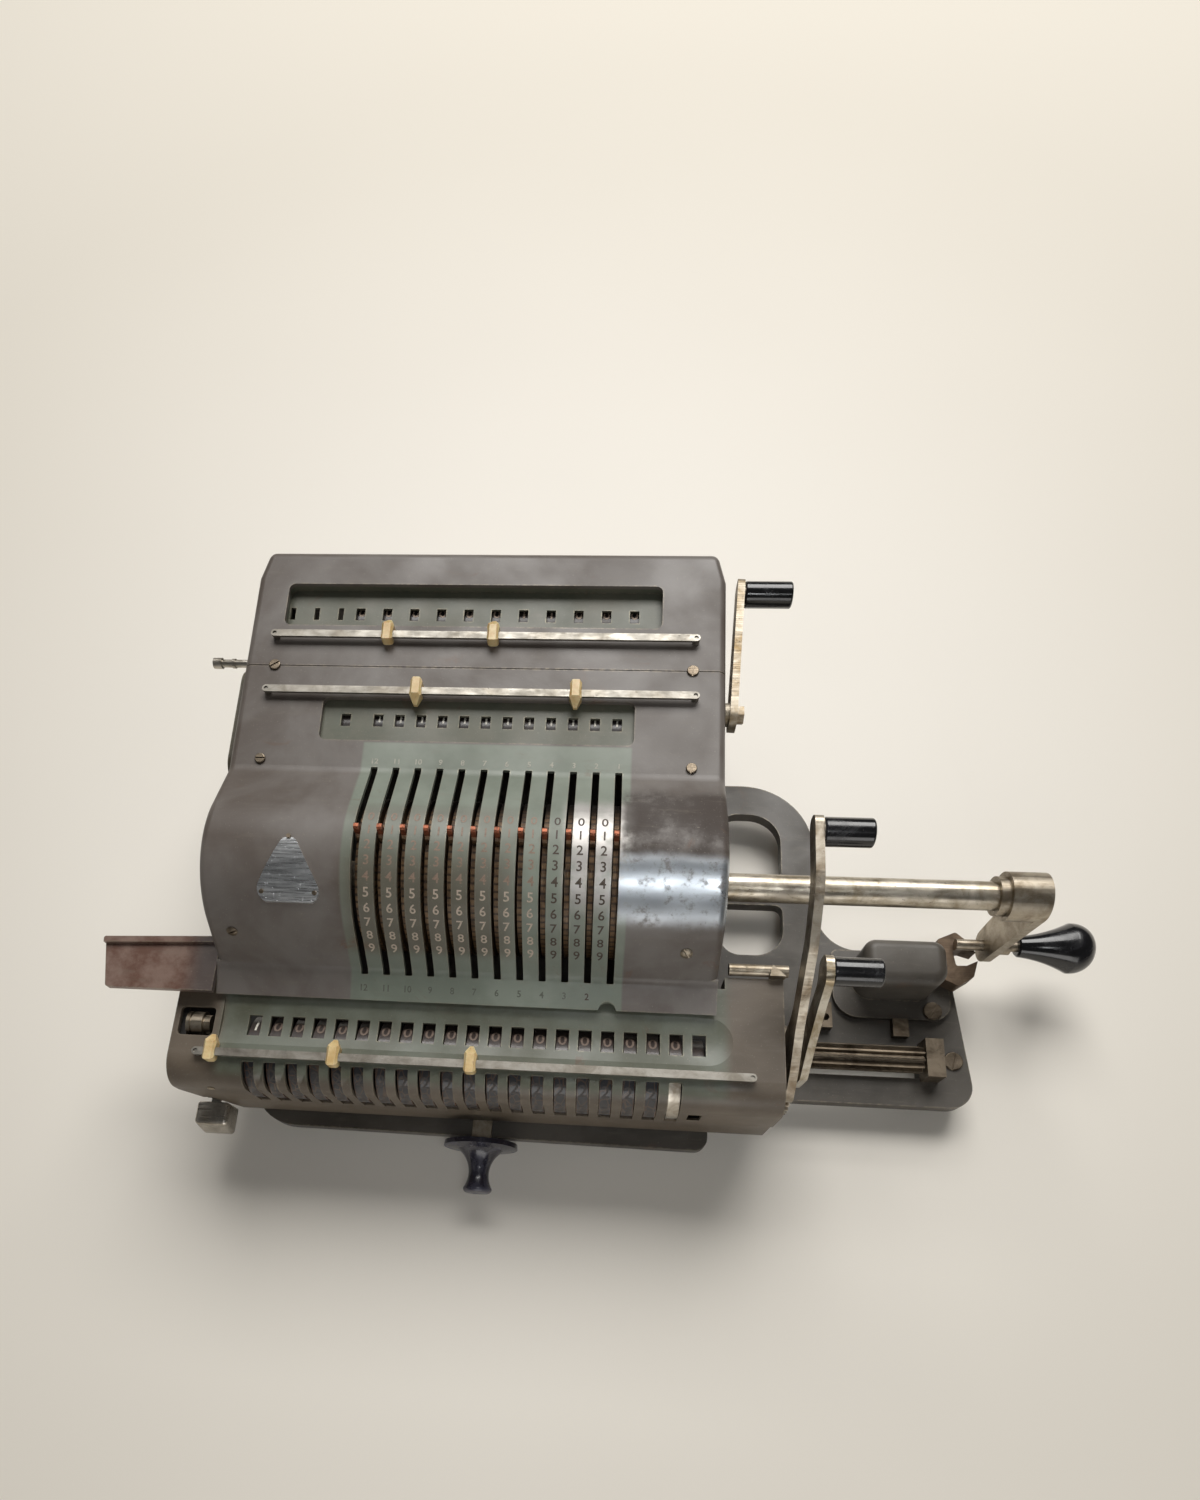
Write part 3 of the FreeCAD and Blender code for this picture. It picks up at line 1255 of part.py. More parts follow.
RELEASE_ARM = (S.release_left + S.release_right) / 2 - 0.5
def make_carriage_frame():
    """Floor with two end plates for the spindles, lugs that ride on the rails, and the levers' stud."""
    left, right = S.carriage_left + S.carriage_wall, S.carriage_right - S.carriage_wall
    front = S.carriage_front + S.carriage_step + S.carriage_wall
    floor_top = S.carriage_floor + S.floor_thick
    gap = 0.05
    shape = block(left + gap, right - gap, front + 0.3, S.carriage_rear, S.carriage_floor, floor_top)
    bore = S.spindle_radius
    for x0 in (left + gap, right - gap - 3):
        plate = block(x0, x0 + 3, front + 6, S.carriage_rear, S.carriage_floor, S.carriage_top - 4)
        shape = shape.fuse(plate)
    for x in (S.lug_left, S.lug_right):
        for y in (S.rail_front_y, S.rail_rear_y):
            lug = block(x - S.lug_wide / 2, x + S.lug_wide / 2, y - S.lug_wide / 2, y + S.lug_wide / 2,
                        S.rail_z - S.lug_wide / 2 - 0.2, S.carriage_floor + 0.1)
            shape = shape.fuse(lug)
    for y in (S.rail_front_y, S.rail_rear_y):
        shape = shape.cut(rod(S.rail_radius + S.shaft_gap, left, right, y, S.rail_z))
    for y, z in ((S.dial_y, S.dial_z), (S.transfer_y, S.transfer_z)):
        shape = shape.cut(rod(bore, left - 1, right + 1, y, z))
    shape = shape.cut(rod(S.stud_radius, right - 6, right + 1, HUB_Y, S.hub_z))
    y, z = S.release_pivot_y, S.release_pivot_z
    for x0 in (left + gap, RELEASE_ARM + 2.3):
        shape = shape.fuse(block(x0, x0 + 1.1, y - 2.4, y + 2.4, z - 1.9, S.carriage_floor + 0.1))
    shape = shape.cut(rod(S.release_pin + S.shaft_gap, left - 3, RELEASE_ARM + 6, y, z))
    shape = shape.cut(rod(ROLLER_STUB, left - 1, left + 5, S.roller_y, S.roller_z))
    solid_piece("carriage_frame", shape.removeSplitter())


ROLLER_STUB = 1.6


def corner_roller(left):
    """The nickel roller seen in the corner opening, with a toothed washer, on a stub in the end plate."""
    place = (S.roller_y, S.roller_z)
    face = left + 3.4
    hub = rod(S.roller_radius * 0.75, face, face + 10.2, *place)
    roller = rod(S.roller_radius, face, face + 7.2, *place).fuse(hub)
    groove = ring(S.roller_radius + 1, S.roller_radius - 0.7, face + 1.6, face + 2.4, *place)
    return roller.cut(groove).fuse(rod(ROLLER_STUB, left, face + 0.1, *place)).removeSplitter()


def make_carriage_works():
    left, right = S.carriage_left + S.carriage_wall + 0.1, S.carriage_right - S.carriage_wall - 0.1
    spindles = [rod(S.spindle_radius, left, right, y, z)
                for y, z in ((S.dial_y, S.dial_z), (S.transfer_y, S.transfer_z))]
    spindles += [lever_stud(), link_rod(), corner_roller(left)]
    solid_piece("carriage_spindles", Part.makeCompound(spindles))
    covered = S.dial_y - S.carriage_front - S.carriage_wall - 0.5
    wheels = [dial(covered, S.dial_wide, RESULT_X[0], S.dial_y, S.dial_z)]
    wheels += [dial(S.dial_radius, S.dial_wide, x, S.dial_y, S.dial_z) for x in RESULT_X[1:]]
    solid_piece("result_dials", Part.makeCompound(wheels))
    gears = [transfer_gear(x + S.transfer_shift) for x in RESULT_X[1:]]
    solid_piece("transfer_gears", Part.makeCompound(gears))


def transfer_gear(x):
    """A spur wheel between the pinwheels and a result dial."""
    teeth = int(2 * S.transfer_radius / S.gear_module) - 2
    edges = gear_outline(teeth, S.gear_module, 0.0, 360.0, S.transfer_y, S.transfer_z)
    wheel = along_x(edges, x - S.transfer_wide / 2, x + S.transfer_wide / 2)
    return wheel.cut(rod(S.spindle_radius + S.shaft_gap, x - 5, x + 5, S.transfer_y, S.transfer_z))


def gear_outline(teeth, module, first, span, y, z, phase=0.0):
    """Straight-flanked teeth about (y, z), thin enough to run with backlash; first and span limit them."""
    pitch = module * teeth / 2
    tip, root = pitch + 0.8 * module, pitch - 1.15 * module
    step = 360.0 / teeth
    points = []
    for number in range(teeth):
        centre = phase + number * step
        inside = span >= 360 or (centre - first) % 360 <= span
        crown = tip if inside else root
        for radius, lean in ((root, -0.28), (crown, -0.13), (crown, 0.13), (root, 0.28)):
            turn = math.radians(centre + lean * step)
            points.append((y + radius * math.cos(turn), z + radius * math.sin(turn)))
    return outline(points)


def make_carriage_trim():
    bar_shape = bar(S.carriage_bar_left, S.carriage_bar_right, S.carriage_bar_y, S.carriage_top)
    solid_piece("carriage_pointer_bar", bar_shape)


def link_rod():
    """The short rod behind the carriage's right end and the pointed tab over it."""
    rod_left, rod_right = S.carriage_block_left + 1.5, S.long_lever_x - 0.8
    link = rod(S.link_rod_radius, rod_left, rod_right, S.link_rod_y, S.link_rod_z)
    foot, edge = S.carriage_right - 6.4, S.carriage_block_rear + 0.05
    tab = up_z(outline([(foot, edge), (foot + 6.8, edge), (foot + 1.3, S.link_rod_y + 1.8)]),
               S.link_rod_z - 1.3, S.link_rod_z + S.link_rod_radius + 0.6)
    return link.fuse(tab).removeSplitter()


def make_shift_key():
    """The bracket under the carriage's front and the flared knob on its end."""
    x, low, high = S.knob_x, S.knob_z - S.key_thick / 2, S.knob_z + S.key_thick / 2
    rear = S.key_pivot_y + 4
    plate = up_z(outline([(x - S.key_half, S.knob_start + 0.2), (x + S.key_half, S.knob_start + 0.2),
                          (x + S.key_half, rear, 4), (x - S.key_half, rear, 4)]), low, high)
    pivot = post(S.key_pivot_radius, x, S.key_pivot_y, high - 0.1, S.carriage_floor - 0.1)
    forward = FreeCAD.Vector(0, -1, 0)
    stem = Part.makeCylinder(S.key_stem, 12, FreeCAD.Vector(x, S.knob_start + 1.4, S.knob_z), forward)
    solid_piece("shift_key_bracket", plate.fuse(pivot).fuse(stem).removeSplitter())
    start, end, bore, rim = S.knob_start, S.knob_end, S.key_stem + S.shaft_gap, S.knob_flange
    profile = closed_path((bore, start), (rim - 0.2, start), (rim, start - 2.3), (rim * 0.62, start - 3.4),
                          ((5.6, start - 9.5), (6.6, end + 2.2)), ((6.1, end + 0.6), (4.6, end)), (0.0, end),
                          (0.0, start - 12), (bore, start - 12))
    face = Part.Face(Part.Wire(Part.__sortEdges__([edge.toShape() for edge in profile])))
    face.translate(FreeCAD.Vector(x, 0, S.knob_z))
    solid_piece("shift_knob", face.revolve(FreeCAD.Vector(x, 0, S.knob_z), AXIS_Y, 360))


def make_release_lever():
    """The nickel key beside the carriage's left end, hinged on a pin in two ears under the floor."""
    y, z = S.release_pivot_y, S.release_pivot_z
    arm_left, arm_right = RELEASE_ARM - 2.0, RELEASE_ARM + 2.0
    rear = S.carriage_front + 0.6
    profile = outline([(rear, -51.6, 0.8), (rear - 10.4, -51.6, 2.4), (rear - 13.0, -65, 1.0), (rear, -65)])
    key = along_x(profile, S.release_left, S.release_right)
    upright = [edge for edge in key.Edges if edge.BoundBox.XLength < 1e-6 and edge.BoundBox.ZLength > 8
               and edge.BoundBox.YMin < rear - 5]
    key = key.makeFillet(2.0, upright)
    arm = block(arm_left, arm_right, rear - 0.1, y + 2, z - 1.0, z + 1.0)
    pin = rod(S.release_pin, arm_left - 3.3, arm_right + 3.3, y, z)
    solid_piece("carriage_release_lever", key.fuse(arm).fuse(pin).removeSplitter())


# ---------------------------------------------------------------- clearing levers

def lever_plate(points, x0, thick):
    return along_x(outline(points), x0, x0 + thick)


def grip(x0, length, y, z):
    """A round grip with softened rims, hollow for the lever's core."""
    shape = rod(S.grip_radius, x0, x0 + length, y, z)
    rims = [edge for edge in shape.Edges if abs(edge.BoundBox.XMax - edge.BoundBox.XMin) < 1e-6]
    return shape.makeFillet(0.9, rims).cut(rod(S.grip_core, x0 - 1, x0 + length - S.grip_bottom, y, z))


def make_clearing_levers():
    """Two levers on one stud at the carriage's right end; the inner one drives the long pinion."""
    core, core_long = S.grip_core, S.clearing_grip_long - S.grip_bottom
    grip_y, grip_z = 4.5, 42.0
    x0, thick = S.long_lever_x, S.long_lever_thick
    arm = lever_plate([(HUB_Y + 8, S.hub_z - 4, 4), (HUB_Y - 12, S.hub_z - 4, 6), (-87.5, -26, 8),
                       (-77.0, -13.0, 20), (-62.5, 0.0, 30), (-38.0, 28.5, 22), (-18.0, 43.0, 20),
                       (11.5, 46.0, 4), (11.5, 36.5, 4), (-14.0, 34.0, 20), (-31.0, 22.0, 22),
                       (-54.5, -6.0, 30), (-59.5, -26.0, 20)], x0, thick)
    toothed = along_x(gear_outline(int(S.sector_teeth), S.gear_module, 98.0, 226.0, HUB_Y, S.hub_z,
                                   sector_phase()), x0, x0 + thick)
    lever = arm.fuse(toothed).fuse(rod(core, x0 + thick - 0.1, x0 + thick + core_long, grip_y, grip_z))
    lever = lever.cut(rod(S.stud_radius + S.shaft_gap, x0 - 1, x0 + thick + 1, HUB_Y, S.hub_z))
    solid_piece("setting_clear_lever", lever.removeSplitter())
    start = x0 + thick
    solid_piece("setting_clear_grip", grip(start, S.clearing_grip_long, grip_y, grip_z))

    grip_y, grip_z = -44.5, 20.0
    x0, thick = S.short_lever_x, S.short_lever_thick
    arm = lever_plate([(HUB_Y + 8, S.hub_z - 7, 6), (HUB_Y - 8, S.hub_z - 7, 6), (-76.5, -27, 6),
                       (-66.5, -10.5, 16), (-56.0, 10.0, 12), (-49.5, 25.0, 6), (-38.5, 25.5, 4),
                       (-38.5, 15.0, 4), (-46.0, 10.0, 10), (-56.0, -16.0, 14)], x0, thick)
    lever = arm.fuse(rod(core, x0 + thick - 0.1, x0 + thick + core_long, grip_y, grip_z))
    lever = lever.cut(rod(S.stud_radius + S.shaft_gap, x0 - 1, x0 + thick + 1, HUB_Y, S.hub_z))
    solid_piece("result_clear_lever", lever.removeSplitter())
    start = x0 + thick
    solid_piece("result_clear_grip", grip(start, S.clearing_grip_long, grip_y, grip_z))


def lever_stud():
    """The stud that both clearing levers turn on, with its spacing collars."""
    left, right = S.carriage_right - S.carriage_wall - 5, S.short_lever_x + S.short_lever_thick + 1.5
    stud = rod(S.stud_radius, left, right, HUB_Y, S.hub_z)
    stud = stud.fuse(rod(4.6, S.carriage_right, S.long_lever_x - 0.2, HUB_Y, S.hub_z))
    between = rod(4.6, S.long_lever_x + S.long_lever_thick + 0.2, S.short_lever_x - 0.2, HUB_Y, S.hub_z)
    outer = S.short_lever_x + S.short_lever_thick + 0.2
    stud = stud.fuse(between).fuse(rod(5.2, outer, outer + 2.4, HUB_Y, S.hub_z))
    return stud.removeSplitter()


def mesh_direction():
    """Polar angle in degrees from the levers' stud to the pinion."""
    return math.degrees(math.atan2(S.pinion_z - S.hub_z, S.pinion_y - HUB_Y))


def sector_phase():
    """A tooth of the sector points straight at the pinion, which answers with a gap."""
    return mesh_direction() % (360.0 / S.sector_teeth)


def make_clearing_pinion():
    phase = (mesh_direction() + 180.0 + 180.0 / S.pinion_teeth) % (360.0 / S.pinion_teeth)
    edges = gear_outline(int(S.pinion_teeth), S.gear_module, 0.0, 360.0, S.pinion_y, S.pinion_z, phase)
    pinion = along_x(edges, S.pinion_left, S.pinion_right)
    shaft = rod(S.stud_radius, S.pinion_left - 5.5, S.pinion_right + S.journal_long, S.pinion_y, S.pinion_z)
    solid_piece("clearing_pinion", pinion.fuse(shaft).removeSplitter())


def make_counter_lever():
    """The lever on the housing's right side; its flat arm leans outwards to the grip."""
    y, z = S.counter_pivot_y, S.counter_pivot_z
    grip_y, grip_z = S.counter_grip_y, S.counter_grip_z
    x0, thick = S.counter_lever_x, S.counter_lever_thick
    arm = lever_plate([(y - 7, z - 6, 5), (y + 5, z - 6.5, 4), (grip_y - 4, grip_z - 6, 10),
                       (grip_y + 7, grip_z - 6, 4), (grip_y + 7, grip_z + 5, 4), (grip_y - 8, grip_z + 4, 12),
                       (y - 7, z + 6, 5)], x0, thick)
    arm.rotate(FreeCAD.Vector(x0, y, z), AXIS_Z, -S.counter_lever_lean)
    start = x0 + thick + (grip_y - y) * math.tan(math.radians(S.counter_lever_lean))
    core_long = S.counter_grip_long - S.grip_bottom
    lever = arm.fuse(rod(S.grip_core, start - 1.5, start + core_long, grip_y, grip_z))
    stub = rod(S.stud_radius, S.frame_outer - S.frame_thick - 0.5, x0 + 0.6, y, z)
    collar = rod(5.0, S.cover_half + S.free_gap, x0 + 0.6, y, z)
    lever = lever.fuse(stub).fuse(collar)
    corners = [polar(4.2, math.radians(60 * k)) for k in range(6)]
    nut = along_x(outline([(y + v, z + w) for v, w in corners]), x0 + thick - 0.4, x0 + thick + 3.0)
    solid_piece("counter_clear_lever", lever.fuse(nut).removeSplitter())
    solid_piece("counter_clear_grip", grip(start + S.free_gap, S.counter_grip_long, grip_y, grip_z))


# ---------------------------------------------------------------- pointers

def pointer_shape(x, y, surface, side, reach):
    """A slider clasped round its bar at y: round tail, slim waist and a bevelled tip on the given side."""
    half = S.pointer_wide / 2
    low = surface + S.free_gap
    high = surface + S.bar_lift + S.bar_thick + S.pointer_cap
    tip = y + side * reach
    tail, shoulder = tip - side * S.pointer_long, tip - side * S.pointer_tip
    waist, slim = (tail + shoulder) / 2, half * 0.86
    body = up_z(outline([(x - half, tail, 1.7), (x + half, tail, 1.7), (x + slim, waist, 6),
                         (x + half, shoulder, 0.8), (x + 0.8, tip, 0.5), (x - 0.8, tip, 0.5),
                         (x - half, shoulder, 0.8), (x - slim, waist, 6)]), low, high)
    for lean in (-1, 1):
        edge, start = x + lean * half, y - 2 * S.pointer_long
        corner = [(-1.3, 0.1), (1.0, 0.1), (1.0, -1.5), (0.1, -1.5), (-1.3, 0.1)]
        corner = Part.makePolygon([FreeCAD.Vector(edge + lean * u, start, high + v) for u, v in corner])
        body = body.cut(Part.Face(corner).extrude(FreeCAD.Vector(0, 4 * S.pointer_long, 0)))
    bevel = outline([(shoulder, high + 0.1), (tip + side, high + 0.1), (tip + side, low + 0.8)])
    body = body.cut(along_x(bevel, x - 2 * half, x + 2 * half))
    gap = S.pointer_gap
    tunnel = block(x - half - 1, x + half + 1, y - S.bar_wide / 2 - gap, y + S.bar_wide / 2 + gap,
                   surface + S.bar_lift - gap, surface + S.bar_lift + S.bar_thick + gap)
    return body.cut(tunnel)


UPPER_POINTERS = {"upper_pointer_left": -42.4, "upper_pointer_right": 4.9}
LOWER_POINTERS = {"lower_pointer_left": -26.8, "lower_pointer_right": 42.7}
CARRIAGE_POINTERS = {"carriage_pointer_left": -105.2, "carriage_pointer_middle": -52.0,
                     "carriage_pointer_right": 6.1}


def make_pointers():
    for label, x in UPPER_POINTERS.items():
        solid_piece(label, pointer_shape(x, S.upper_bar_s, 0.0, 1, S.upper_reach), tilted=True)
    for label, x in LOWER_POINTERS.items():
        solid_piece(label, pointer_shape(x, S.lower_bar_s, 0.0, -1, S.lower_reach), tilted=True)
    for label, x in CARRIAGE_POINTERS.items():
        solid_piece(label, pointer_shape(x, S.carriage_bar_y, S.carriage_top, 1, S.carriage_reach))


# ---------------------------------------------------------------- build, check and write

make_base_plate()
make_feet()
make_side_frame("side_frame_left", "-frame_outer")
make_side_frame("side_frame_right", "frame_outer - frame_thick")
make_front_cover()
make_top_cover()
make_window_plates()
make_pointer_bars()
make_badge()
make_guard_plate()
make_left_side_plate()
make_crank_stop_housing()
make_crank_rest_catch()
make_base_blocks()
make_carriage_rails()
make_crank()
make_drum()
make_setting_levers()
make_registers()
make_selector_pin()
make_carriage_cover()
make_carriage_frame()
make_carriage_works()
make_carriage_trim()
make_shift_key()
make_release_lever()
make_clearing_levers()
make_clearing_pinion()
make_counter_lever()
make_pointers()
doc.recompute()

for item in doc.Objects:
    if "Invalid" in item.State or "Error" in item.State:
        raise RuntimeError(f"{item.Label} failed to build: {item.State}")
for piece in pieces:
    if piece.Shape.isNull() or not piece.Shape.isValid():
        raise RuntimeError(f"{piece.Label} has no valid shape")
for piece in pieces:
    piece.Shape.exportStep(f"parts/{piece.Label}.step")
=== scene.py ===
"""Pinwheel calculator: paint, figures, screw heads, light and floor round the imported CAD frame.

Positions are in millimetres from the drum axis, as in the CAD source: x to the right from the middle of the
housing, y to the back, z up. at() turns them into metres in the frame.
"""
import json
import math

import bmesh
import bpy
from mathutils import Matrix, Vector
from mathutils.bvhtree import BVHTree


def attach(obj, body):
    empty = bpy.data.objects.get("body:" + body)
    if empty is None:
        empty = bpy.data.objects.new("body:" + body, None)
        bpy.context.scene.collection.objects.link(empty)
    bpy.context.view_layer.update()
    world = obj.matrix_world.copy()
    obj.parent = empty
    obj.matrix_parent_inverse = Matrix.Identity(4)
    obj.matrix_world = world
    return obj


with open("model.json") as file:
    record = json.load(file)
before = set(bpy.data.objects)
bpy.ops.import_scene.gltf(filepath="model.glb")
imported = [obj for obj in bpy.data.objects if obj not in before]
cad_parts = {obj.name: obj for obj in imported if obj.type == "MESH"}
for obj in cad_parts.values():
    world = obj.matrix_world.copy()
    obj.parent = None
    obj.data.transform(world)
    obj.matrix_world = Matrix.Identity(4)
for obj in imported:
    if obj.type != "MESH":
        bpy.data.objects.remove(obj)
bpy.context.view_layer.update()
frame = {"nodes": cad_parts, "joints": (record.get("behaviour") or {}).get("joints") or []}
NODES = frame["nodes"]
JOINTS = {joint["name"]: joint for joint in frame["joints"]}

MM = 0.001
CRANK_JOINT_X = 100.0
crank = JOINTS["crank_turn"]["pos_m"]
ORIGIN = Vector((crank[0] - CRANK_JOINT_X * MM, crank[1], crank[2]))


def at(x, y, z):
    """A place in drum millimetres as a place in the frame, in metres."""
    return ORIGIN + Vector((x, y, z)) * MM


def joint_axis(name):
    """(y, z) of a joint's axis in drum millimetres."""
    place = (Vector(JOINTS[name]["pos_m"]) - ORIGIN) / MM
    return place.y, place.z


# ------------------------------------------------------------------ layout, as in the CAD source

PITCH, COUNTER_PITCH = 9.5, 12.54
COLUMN_COUNT, RESULT_COUNT, COUNTER_COUNT = 12, 21, 11
FIRST_COLUMN, FIRST_CONTROL, FIRST_COUNTER = 62.5, 61.0, 66.9
RESULT_AHEAD = 4                # result dials to the right of the first column
COLUMNS = [FIRST_COLUMN - PITCH * k for k in range(COLUMN_COUNT)]
RESULT_X = [FIRST_COLUMN + PITCH * (RESULT_AHEAD - k) for k in range(RESULT_COUNT)]
CONTROL_X = [FIRST_CONTROL - PITCH * k for k in range(COLUMN_COUNT)]
COUNTER_X = [FIRST_COUNTER - COUNTER_PITCH * k for k in range(COUNTER_COUNT)]
DRUM_COVER = 38.35              # radius of the cover round the drum

# ------------------------------------------------------------------ node helpers

MIX_A, MIX_B, MIX_OUT = 6, 7, 2             # the colour sockets of a Mix node
EDGE_FLAT, EDGE_SHARP = 0.995, 0.9          # cosine between the rounded and the true normal
EDGE_SAMPLES = 4
BUMP_DEPTH = 0.0002


class Shader:
    """A material's node tree with short calls for the nodes used here."""

    def __init__(self, name):
        self.material = bpy.data.materials.new(name)
        self.material.use_nodes = True
        self.tree = self.material.node_tree
        self.tree.nodes.clear()
        self.output = self.tree.nodes.new("ShaderNodeOutputMaterial")
        self.bsdf = self.tree.nodes.new("ShaderNodeBsdfPrincipled")
        self.tree.links.new(self.bsdf.outputs[0], self.output.inputs[0])
        self.coords = self.tree.nodes.new("ShaderNodeTexCoord").outputs["Object"]
        self.dull = 0.0         # roughness that a zone adds to the paint

    def link(self, value, socket):
        if isinstance(value, bpy.types.NodeSocket):
            self.tree.links.new(value, socket)
        else:
            socket.default_value = value

    def set(self, **values):
        """Sets inputs of the surface by name, with _ for a space."""
        for name, value in values.items():
            self.link(value, self.bsdf.inputs[name.replace("_", " ")])

    def math(self, operation, a, b=0.0):
        node = self.tree.nodes.new("ShaderNodeMath")
        node.operation = operation
        self.link(a, node.inputs[0])
        self.link(b, node.inputs[1])
        return node.outputs[0]

    def product(self, first, *others):
        for other in others:
            first = self.math("MULTIPLY", first, other)
        return first

    def ramp(self, value, low, high, to_low=0.0, to_high=1.0):
        """to_low where the value is at low or beyond, to_high at high, and a smooth change between."""
        node = self.tree.nodes.new("ShaderNodeMapRange")
        node.interpolation_type = "SMOOTHSTEP"
        self.link(value, node.inputs["Value"])
        ends = {"From Min": low, "From Max": high, "To Min": to_low, "To Max": to_high}
        for name, number in ends.items():
            node.inputs[name].default_value = number
        return node.outputs[0]

    def within(self, value, low, high, soft):
        """1 between low and high, 0 outside, with soft ends."""
        rise = self.ramp(value, low - soft, low + soft)
        fall = self.ramp(value, high - soft, high + soft, 1.0, 0.0)
        return self.product(rise, fall)

    def stretched(self, scale):
        node = self.tree.nodes.new("ShaderNodeMapping")
        node.inputs["Scale"].default_value = scale
        self.tree.links.new(self.coords, node.inputs["Vector"])
        return node.outputs[0]

    def noise(self, scale, detail=3.0, rough=0.55, stretch=None, distort=0.0):
        node = self.tree.nodes.new("ShaderNodeTexNoise")
        node.inputs["Scale"].default_value = scale
        node.inputs["Detail"].default_value = detail
        node.inputs["Roughness"].default_value = rough
        node.inputs["Distortion"].default_value = distort
        self.tree.links.new(self.stretched(stretch) if stretch else self.coords, node.inputs["Vector"])
        return node.outputs["Fac"]

    def mix(self, factor, a, b):
        node = self.tree.nodes.new("ShaderNodeMix")
        node.data_type = "RGBA"
        self.link(factor, node.inputs[0])
        self.link(rgba(a), node.inputs[MIX_A])
        self.link(rgba(b), node.inputs[MIX_B])
        return node.outputs[MIX_OUT]

    def coat(self, colour, paint, where, strength):
        """The colour with paint over it, as strong as the mask says times strength."""
        return self.mix(self.product(where, strength), colour, paint)

    def place(self, axis):
        """A drum coordinate, in millimetres, as a value."""
        node = self.tree.nodes.new("ShaderNodeSeparateXYZ")
        self.tree.links.new(self.coords, node.inputs[0])
        shifted = self.math("SUBTRACT", node.outputs[axis], ORIGIN[axis])
        return self.math("DIVIDE", shifted, MM)

    def edges(self, radius):
        """1 on sharp edges, 0 on flat ground."""
        bevel = self.tree.nodes.new("ShaderNodeBevel")
        bevel.samples = EDGE_SAMPLES
        bevel.inputs["Radius"].default_value = radius
        true_normal = self.tree.nodes.new("ShaderNodeNewGeometry").outputs["Normal"]
        dot = self.tree.nodes.new("ShaderNodeVectorMath")
        dot.operation = "DOT_PRODUCT"
        self.tree.links.new(bevel.outputs[0], dot.inputs[0])
        self.tree.links.new(true_normal, dot.inputs[1])
        return self.ramp(dot.outputs["Value"], EDGE_FLAT, EDGE_SHARP)

    def bump(self, height, strength):
        node = self.tree.nodes.new("ShaderNodeBump")
        node.inputs["Strength"].default_value = strength
        node.inputs["Distance"].default_value = BUMP_DEPTH
        self.tree.links.new(height, node.inputs["Height"])
        self.tree.links.new(node.outputs[0], self.bsdf.inputs["Normal"])


def rgba(colour):
    if isinstance(colour, (tuple, list)) and len(colour) == 3:
        return (*colour, 1.0)
    return colour


def srgb(red, green, blue):
    """Linear colour of 0-255 display values."""
    return tuple((v / 255 / 12.92) if v <= 10 else ((v / 255 + 0.055) / 1.055) ** 2.4
                 for v in (red, green, blue))


# ------------------------------------------------------------------ paint

BROWN, BROWN_DARK = srgb(112, 106, 101), srgb(90, 81, 74)
GREEN, GREEN_LIGHT, GREEN_DARK = srgb(112, 119, 107), srgb(130, 137, 125), srgb(86, 90, 74)
OLIVE, OLIVE_DARK = srgb(104, 104, 88), srgb(86, 92, 76)
BURNT, BURNT_DARK = srgb(140, 116, 104), srgb(104, 72, 58)
RUST, GRIME, GREASE = srgb(104, 72, 50), srgb(80, 64, 48), srgb(54, 44, 38)
# The second of these is a painted highlight: the pale blue-grey of a bright reflection band.
BARE, PAINTED_HIGHLIGHT = srgb(188, 184, 180), srgb(182, 188, 194)
STREAK, DUST = srgb(120, 112, 100), srgb(150, 142, 128)
CHIP, SCRATCH = srgb(150, 140, 122), srgb(160, 150, 135)
CHIP_REACH = 0.0011


def enamel(name, base=BROWN, dark=BROWN_DARK, zones=None, wear=0.6, rust=0.5, rough=0.42):
    """Old stove enamel: clouded, speckled with dust, rubbed to metal on its edges, rusty in patches."""
    shader = Shader(name)
    cloud = shader.ramp(shader.noise(22, 4, 0.6, distort=0.4), 0.35, 0.68)
    colour = shader.mix(cloud, base, dark)
    bare = 0.0
    if zones:
        colour, bare = zones(shader, colour)
    streak = shader.ramp(shader.noise(60, 5, 0.7, stretch=(1.0, 5.0, 1.0)), 0.52, 0.75)
    colour = shader.coat(colour, STREAK, streak, 0.25)
    dust = shader.ramp(shader.noise(1500, 2, 0.5), 0.66, 0.74)
    colour = shader.coat(colour, DUST, dust, 0.35)
    patch = shader.ramp(shader.noise(48, 6, 0.65, distort=0.8), 0.62, 0.74)
    colour = shader.coat(colour, RUST, patch, rust)
    chips = shader.ramp(shader.noise(420, 4, 0.7), 0.38, 0.62)
    worn = shader.product(shader.edges(CHIP_REACH), chips, wear)
    colour = shader.mix(worn, colour, CHIP)
    scratch = shader.ramp(shader.noise(90, 6, 0.75, stretch=(12.0, 0.8, 1.0)), 0.70, 0.74)
    colour = shader.coat(colour, SCRATCH, scratch, 0.3)
    metal = shader.math("MAXIMUM", shader.product(worn, 0.8), bare)
    roughness = shader.ramp(shader.noise(35, 3, 0.5), 0.3, 0.7, rough - 0.06, rough + 0.12)
    roughness = shader.math("SUBTRACT", roughness, shader.product(bare, 0.14))
    roughness = shader.math("ADD", roughness, shader.dull)
    shader.set(Base_Color=colour, Metallic=metal, Roughness=roughness)
    height = shader.math("ADD", shader.product(shader.noise(700, 3, 0.6), 0.5),
                         shader.product(shader.noise(130, 3, 0.5), 0.6))
    shader.bump(height, 0.22)
    return shader.material


